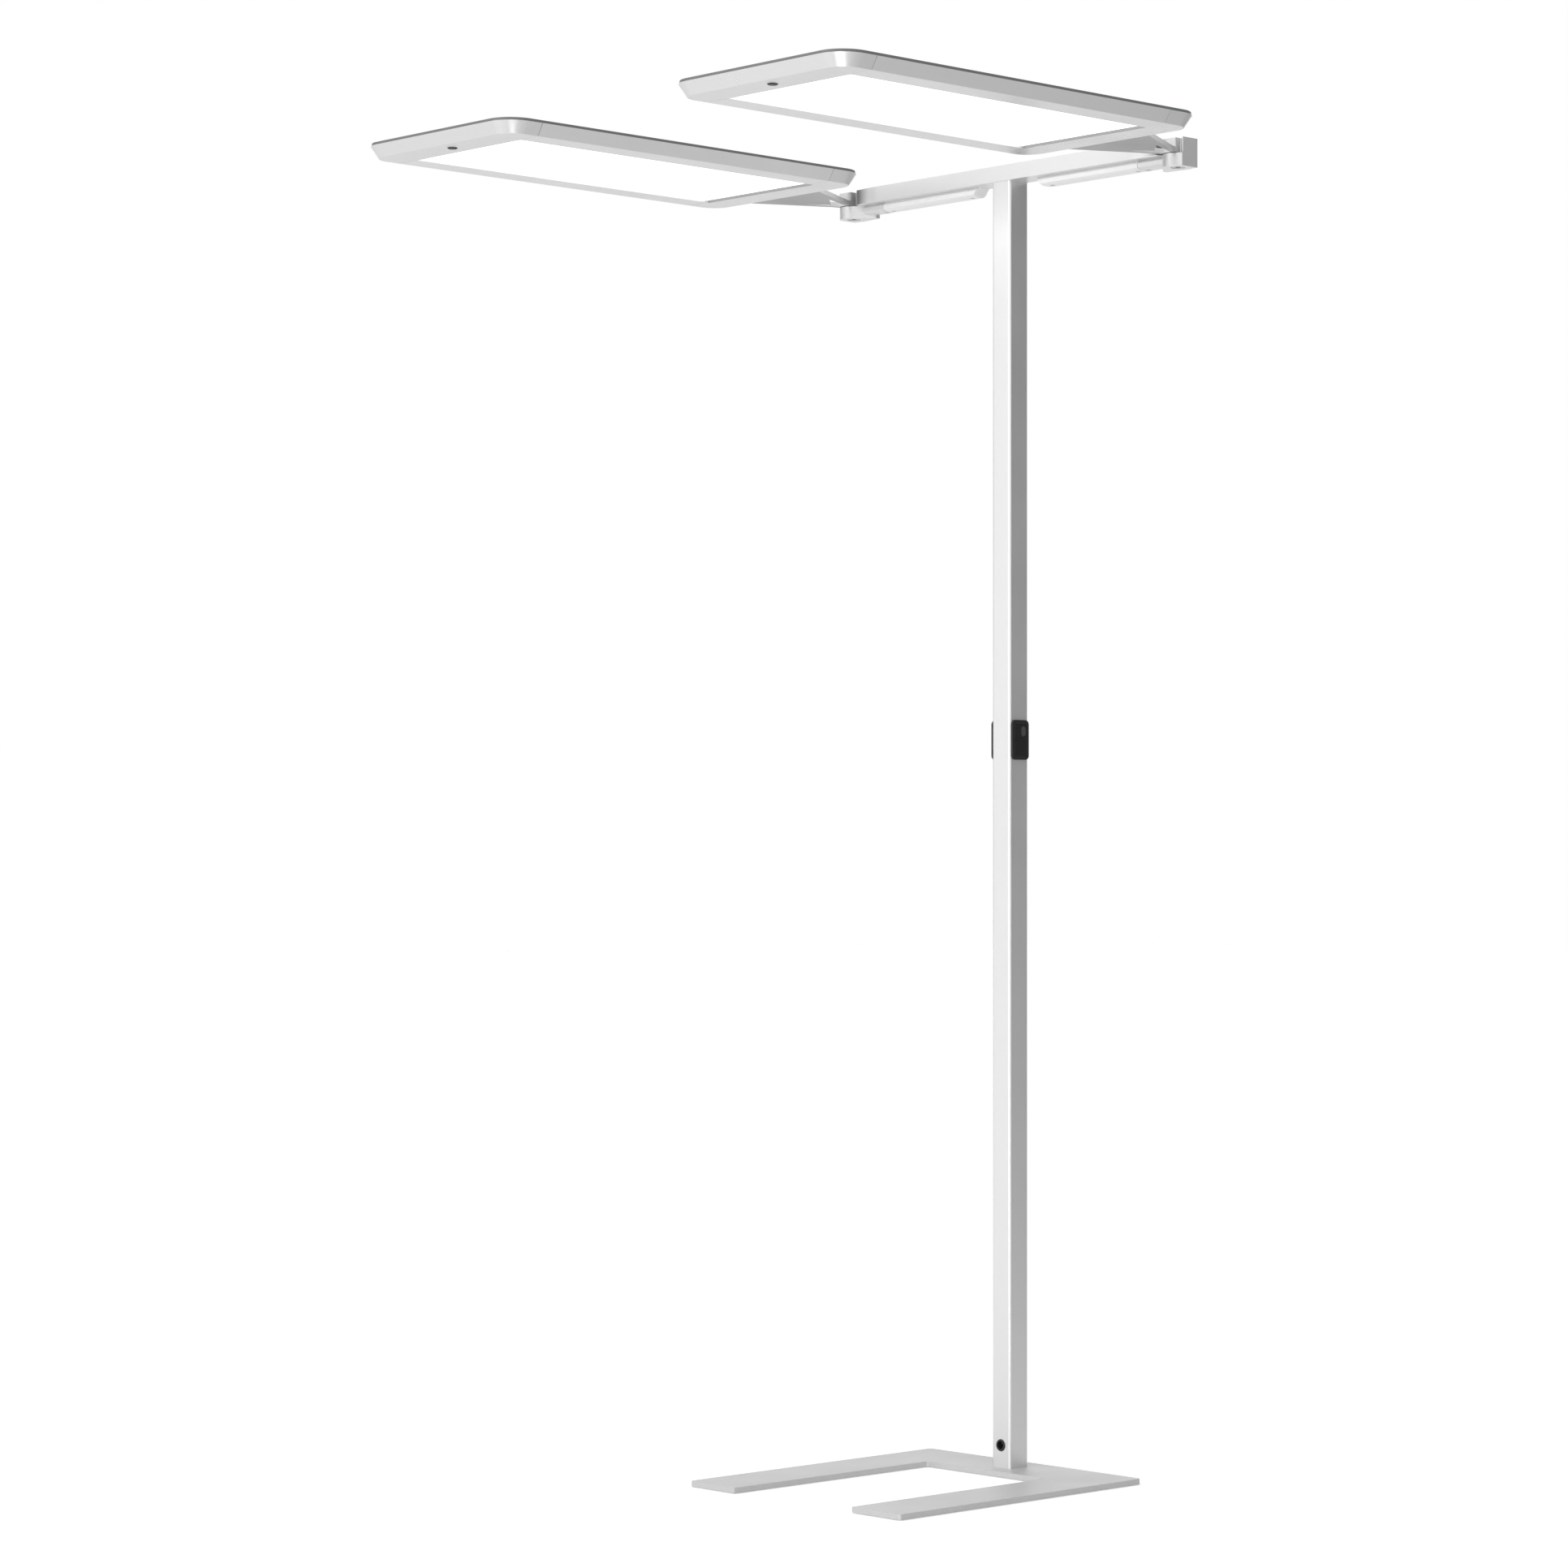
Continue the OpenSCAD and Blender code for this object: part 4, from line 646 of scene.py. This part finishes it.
for side, sign in (("left", -1), ("right", 1)):
    low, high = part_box("key_up_" + side)
    face = high[0] if sign > 0 else low[0]
    middle = (low[2] + high[2]) / 2
    turn = Matrix.Rotation(math.radians(90), 4, "Y") @ Matrix.Rotation(math.radians(90), 4, "Z")
    for kind, width, height, rise, drop in (
            ("keyMark", keyMark["width"], keyMark["height"], keyMark["rise"], 0.0),
            ("keyLamp", keyMark["lampWidth"], keyMark["lampHeight"], keyMark["lampRise"],
             keyMark["lampDrop"])):
        mark = pillShape(width, height, rise + keyMark["sunk"])
        bmesh.ops.transform(mark, matrix=turn, verts=mark.verts)
        if sign < 0:
            bmesh.ops.rotate(mark, matrix=Matrix.Rotation(math.pi, 3, "Z"), verts=mark.verts)
        bmesh.ops.translate(mark, verts=mark.verts,
                            vec=(face - sign * keyMark["sunk"], keyMark["off"],
                                 middle + keyMark["up"] - drop))
        piece = finishPiece(kind + side.capitalize(), mark, materials["printGrey"],
                            "key_up_" + side + "_body")
print("small pieces made")


# stage, light and camera

stageLook = {
    "floorHalf": 30, "floorColour": (0.84, 0.84, 0.84), "floorPatch": 1.02, "floorLift": 0.37,
    "low": 0.08,
    "floorShine": {"toward": (-0.9, -0.45, 0), "start": -0.4, "full": 1.6, "level": 0.17},
    "floorDim": {"toward": (0.7, 0.7, 0), "start": 0.5, "full": 4.5, "level": 0.50},
    "glows": (
        {"toward": (0.32, -0.95, 0.10), "start": 0.16, "full": 0.42, "level": 1.12},
        {"toward": (0.71, 0.71, 0.0), "start": 0.45, "full": 0.95, "level": 0.13},
        {"toward": (-0.71, 0.71, 0.0), "start": 0.50, "full": 0.95, "level": 1.15},
        {"toward": (0, 0, 1), "start": 0.25, "full": 0.90, "level": 0.75},
    ),
}


# a level that grows from start to full along one direction
def levelToward(tree, source, look):
    toward = addNode(tree, "ShaderNodeVectorMath", operation="DOT_PRODUCT")
    toward.inputs[1].default_value = look["toward"]
    tree.links.new(source, toward.inputs[0])
    return spreadValue(tree, toward.outputs["Value"], 0, look["level"], look["start"], look["full"])


# pale floor, lifted to white for the camera around the shadow of the lamp; in reflections it is
# brighter towards floorShine and darker towards floorDim
def makeFloor(look):
    bm = bmesh.new()
    bmesh.ops.create_grid(bm, x_segments=1, y_segments=1, size=look["floorHalf"])
    mesh = bpy.data.meshes.new("floor")
    bm.to_mesh(mesh)
    bm.free()
    floor = bpy.data.objects.new("floor", mesh)
    bpy.context.scene.collection.objects.link(floor)
    material = bpy.data.materials.new("paleFloor")
    material.use_nodes = True
    tree = material.node_tree
    tree.nodes.clear()
    coords = addNode(tree, "ShaderNodeTexCoord")
    cloud = addNode(tree, "ShaderNodeTexNoise", Scale=1.5, Detail=3.0)
    tree.links.new(coords.outputs["Object"], cloud.inputs["Vector"])
    colour = mixColours(tree, cloud.outputs["Fac"], look["floorColour"],
                        shade(look["floorColour"], look["floorPatch"]))
    path = addNode(tree, "ShaderNodeLightPath")
    dim = addNode(tree, "ShaderNodeMath", operation="MULTIPLY")
    tree.links.new(path.outputs["Is Glossy Ray"], dim.inputs[0])
    tree.links.new(levelToward(tree, coords.outputs["Object"], look["floorDim"]), dim.inputs[1])
    colour = mixColours(tree, dim.outputs["Value"], colour, (0.0, 0.0, 0.0))
    matt = addNode(tree, "ShaderNodeBsdfDiffuse")
    tree.links.new(colour, matt.inputs["Color"])
    glow = addNode(tree, "ShaderNodeEmission")
    seen = addNode(tree, "ShaderNodeMath", operation="MAXIMUM")
    lift = addNode(tree, "ShaderNodeMath", operation="MULTIPLY")
    lift.inputs[1].default_value = look["floorLift"]
    shine = addNode(tree, "ShaderNodeMath", operation="MULTIPLY")
    tree.links.new(levelToward(tree, coords.outputs["Object"], look["floorShine"]), shine.inputs[1])
    total = addNode(tree, "ShaderNodeMath", operation="ADD")
    tree.links.new(path.outputs["Is Camera Ray"], seen.inputs[0])
    tree.links.new(path.outputs["Is Transmission Ray"], seen.inputs[1])
    tree.links.new(seen.outputs["Value"], lift.inputs[0])
    tree.links.new(path.outputs["Is Glossy Ray"], shine.inputs[0])
    tree.links.new(lift.outputs["Value"], total.inputs[0])
    tree.links.new(shine.outputs["Value"], total.inputs[1])
    tree.links.new(total.outputs["Value"], glow.inputs["Strength"])
    both = addNode(tree, "ShaderNodeAddShader")
    tree.links.new(matt.outputs["BSDF"], both.inputs[0])
    tree.links.new(glow.outputs["Emission"], both.inputs[1])
    output = addNode(tree, "ShaderNodeOutputMaterial")
    tree.links.new(both.outputs["Shader"], output.inputs["Surface"])
    setMaterial(floor, material)


# a bright front, a pale backdrop and a ceiling in a dim room, and plain white behind the lamp
def makeWorld(look):
    world = bpy.data.worlds.new("studio")
    bpy.context.scene.world = world
    world.use_nodes = True
    tree = world.node_tree
    tree.nodes.clear()
    coords = addNode(tree, "ShaderNodeTexCoord")
    brightest = addNode(tree, "ShaderNodeValue")
    brightest.outputs[0].default_value = look["low"]
    for glow in look["glows"]:
        brighter = addNode(tree, "ShaderNodeMath", operation="MAXIMUM")
        tree.links.new(brightest.outputs["Value"], brighter.inputs[0])
        side = {**glow, "toward": Vector(glow["toward"]).normalized()}
        tree.links.new(levelToward(tree, coords.outputs["Generated"], side), brighter.inputs[1])
        brightest = brighter
    soft = addNode(tree, "ShaderNodeBackground")
    tree.links.new(brightest.outputs["Value"], soft.inputs["Strength"])
    white = addNode(tree, "ShaderNodeBackground", Strength=1.0)
    for background in (soft, white):
        background.inputs["Color"].default_value = (1, 1, 1, 1)
    path = addNode(tree, "ShaderNodeLightPath")
    seen = addNode(tree, "ShaderNodeMath", operation="MAXIMUM")
    choose = addNode(tree, "ShaderNodeMixShader")
    output = addNode(tree, "ShaderNodeOutputWorld")
    tree.links.new(path.outputs["Is Camera Ray"], seen.inputs[0])
    tree.links.new(path.outputs["Is Transmission Ray"], seen.inputs[1])
    tree.links.new(seen.outputs["Value"], choose.inputs["Fac"])
    tree.links.new(soft.outputs["Background"], choose.inputs[1])
    tree.links.new(white.outputs["Background"], choose.inputs[2])
    tree.links.new(choose.outputs["Shader"], output.inputs["Surface"])


lamps = {
    "keyPanel": {"place": (-1.2, -4.8, 1.8), "target": (0, -0.2, 1.2), "size": (2.6, 3.0), "power": 38},
    "fillPanel": {"place": (3.9, -4.3, 1.4), "target": (0, 0, 1.1), "size": (0.5, 2.4), "power": 4},
    "lowPanel": {"place": (1.12, -1.78, 0.04), "target": (0.5, -0.7, 1.9), "size": (0.8, 0.6), "power": 9},
}


def makeLamp(name, look):
    data = bpy.data.lights.new(name, "AREA")
    data.shape = "RECTANGLE"
    data.size, data.size_y = look["size"]
    data.energy = look["power"]
    lamp = bpy.data.objects.new(name, data)
    lamp.location = look["place"]
    aim = Vector(look["target"]) - Vector(look["place"])
    lamp.rotation_euler = aim.to_track_quat("-Z", "Y").to_euler()
    lamp.visible_camera = False
    bpy.context.scene.collection.objects.link(lamp)


cameraLook = {
    "place": (4.444, -4.337, 0.901), "turn": 45.0,
    "lens": 96.195, "sensor": 36.0, "shift": (-0.17676, 0.05124), "reach": 100,
}


def makeCamera(look):
    data = bpy.data.cameras.new("photoView")
    data.sensor_width = look["sensor"]
    data.lens = look["lens"]
    data.shift_x, data.shift_y = look["shift"]
    data.clip_end = look["reach"]
    camera = bpy.data.objects.new("photoView", data)
    camera.location = look["place"]
    camera.rotation_euler = (math.radians(90), 0, math.radians(look["turn"]))
    bpy.context.scene.collection.objects.link(camera)
    bpy.context.scene.camera = camera


makeFloor(stageLook)
makeWorld(stageLook)
for lampName, lampLook in lamps.items():
    makeLamp(lampName, lampLook)
makeCamera(cameraLook)
bpy.context.scene.view_settings.view_transform = "Standard"
print("stage ready")
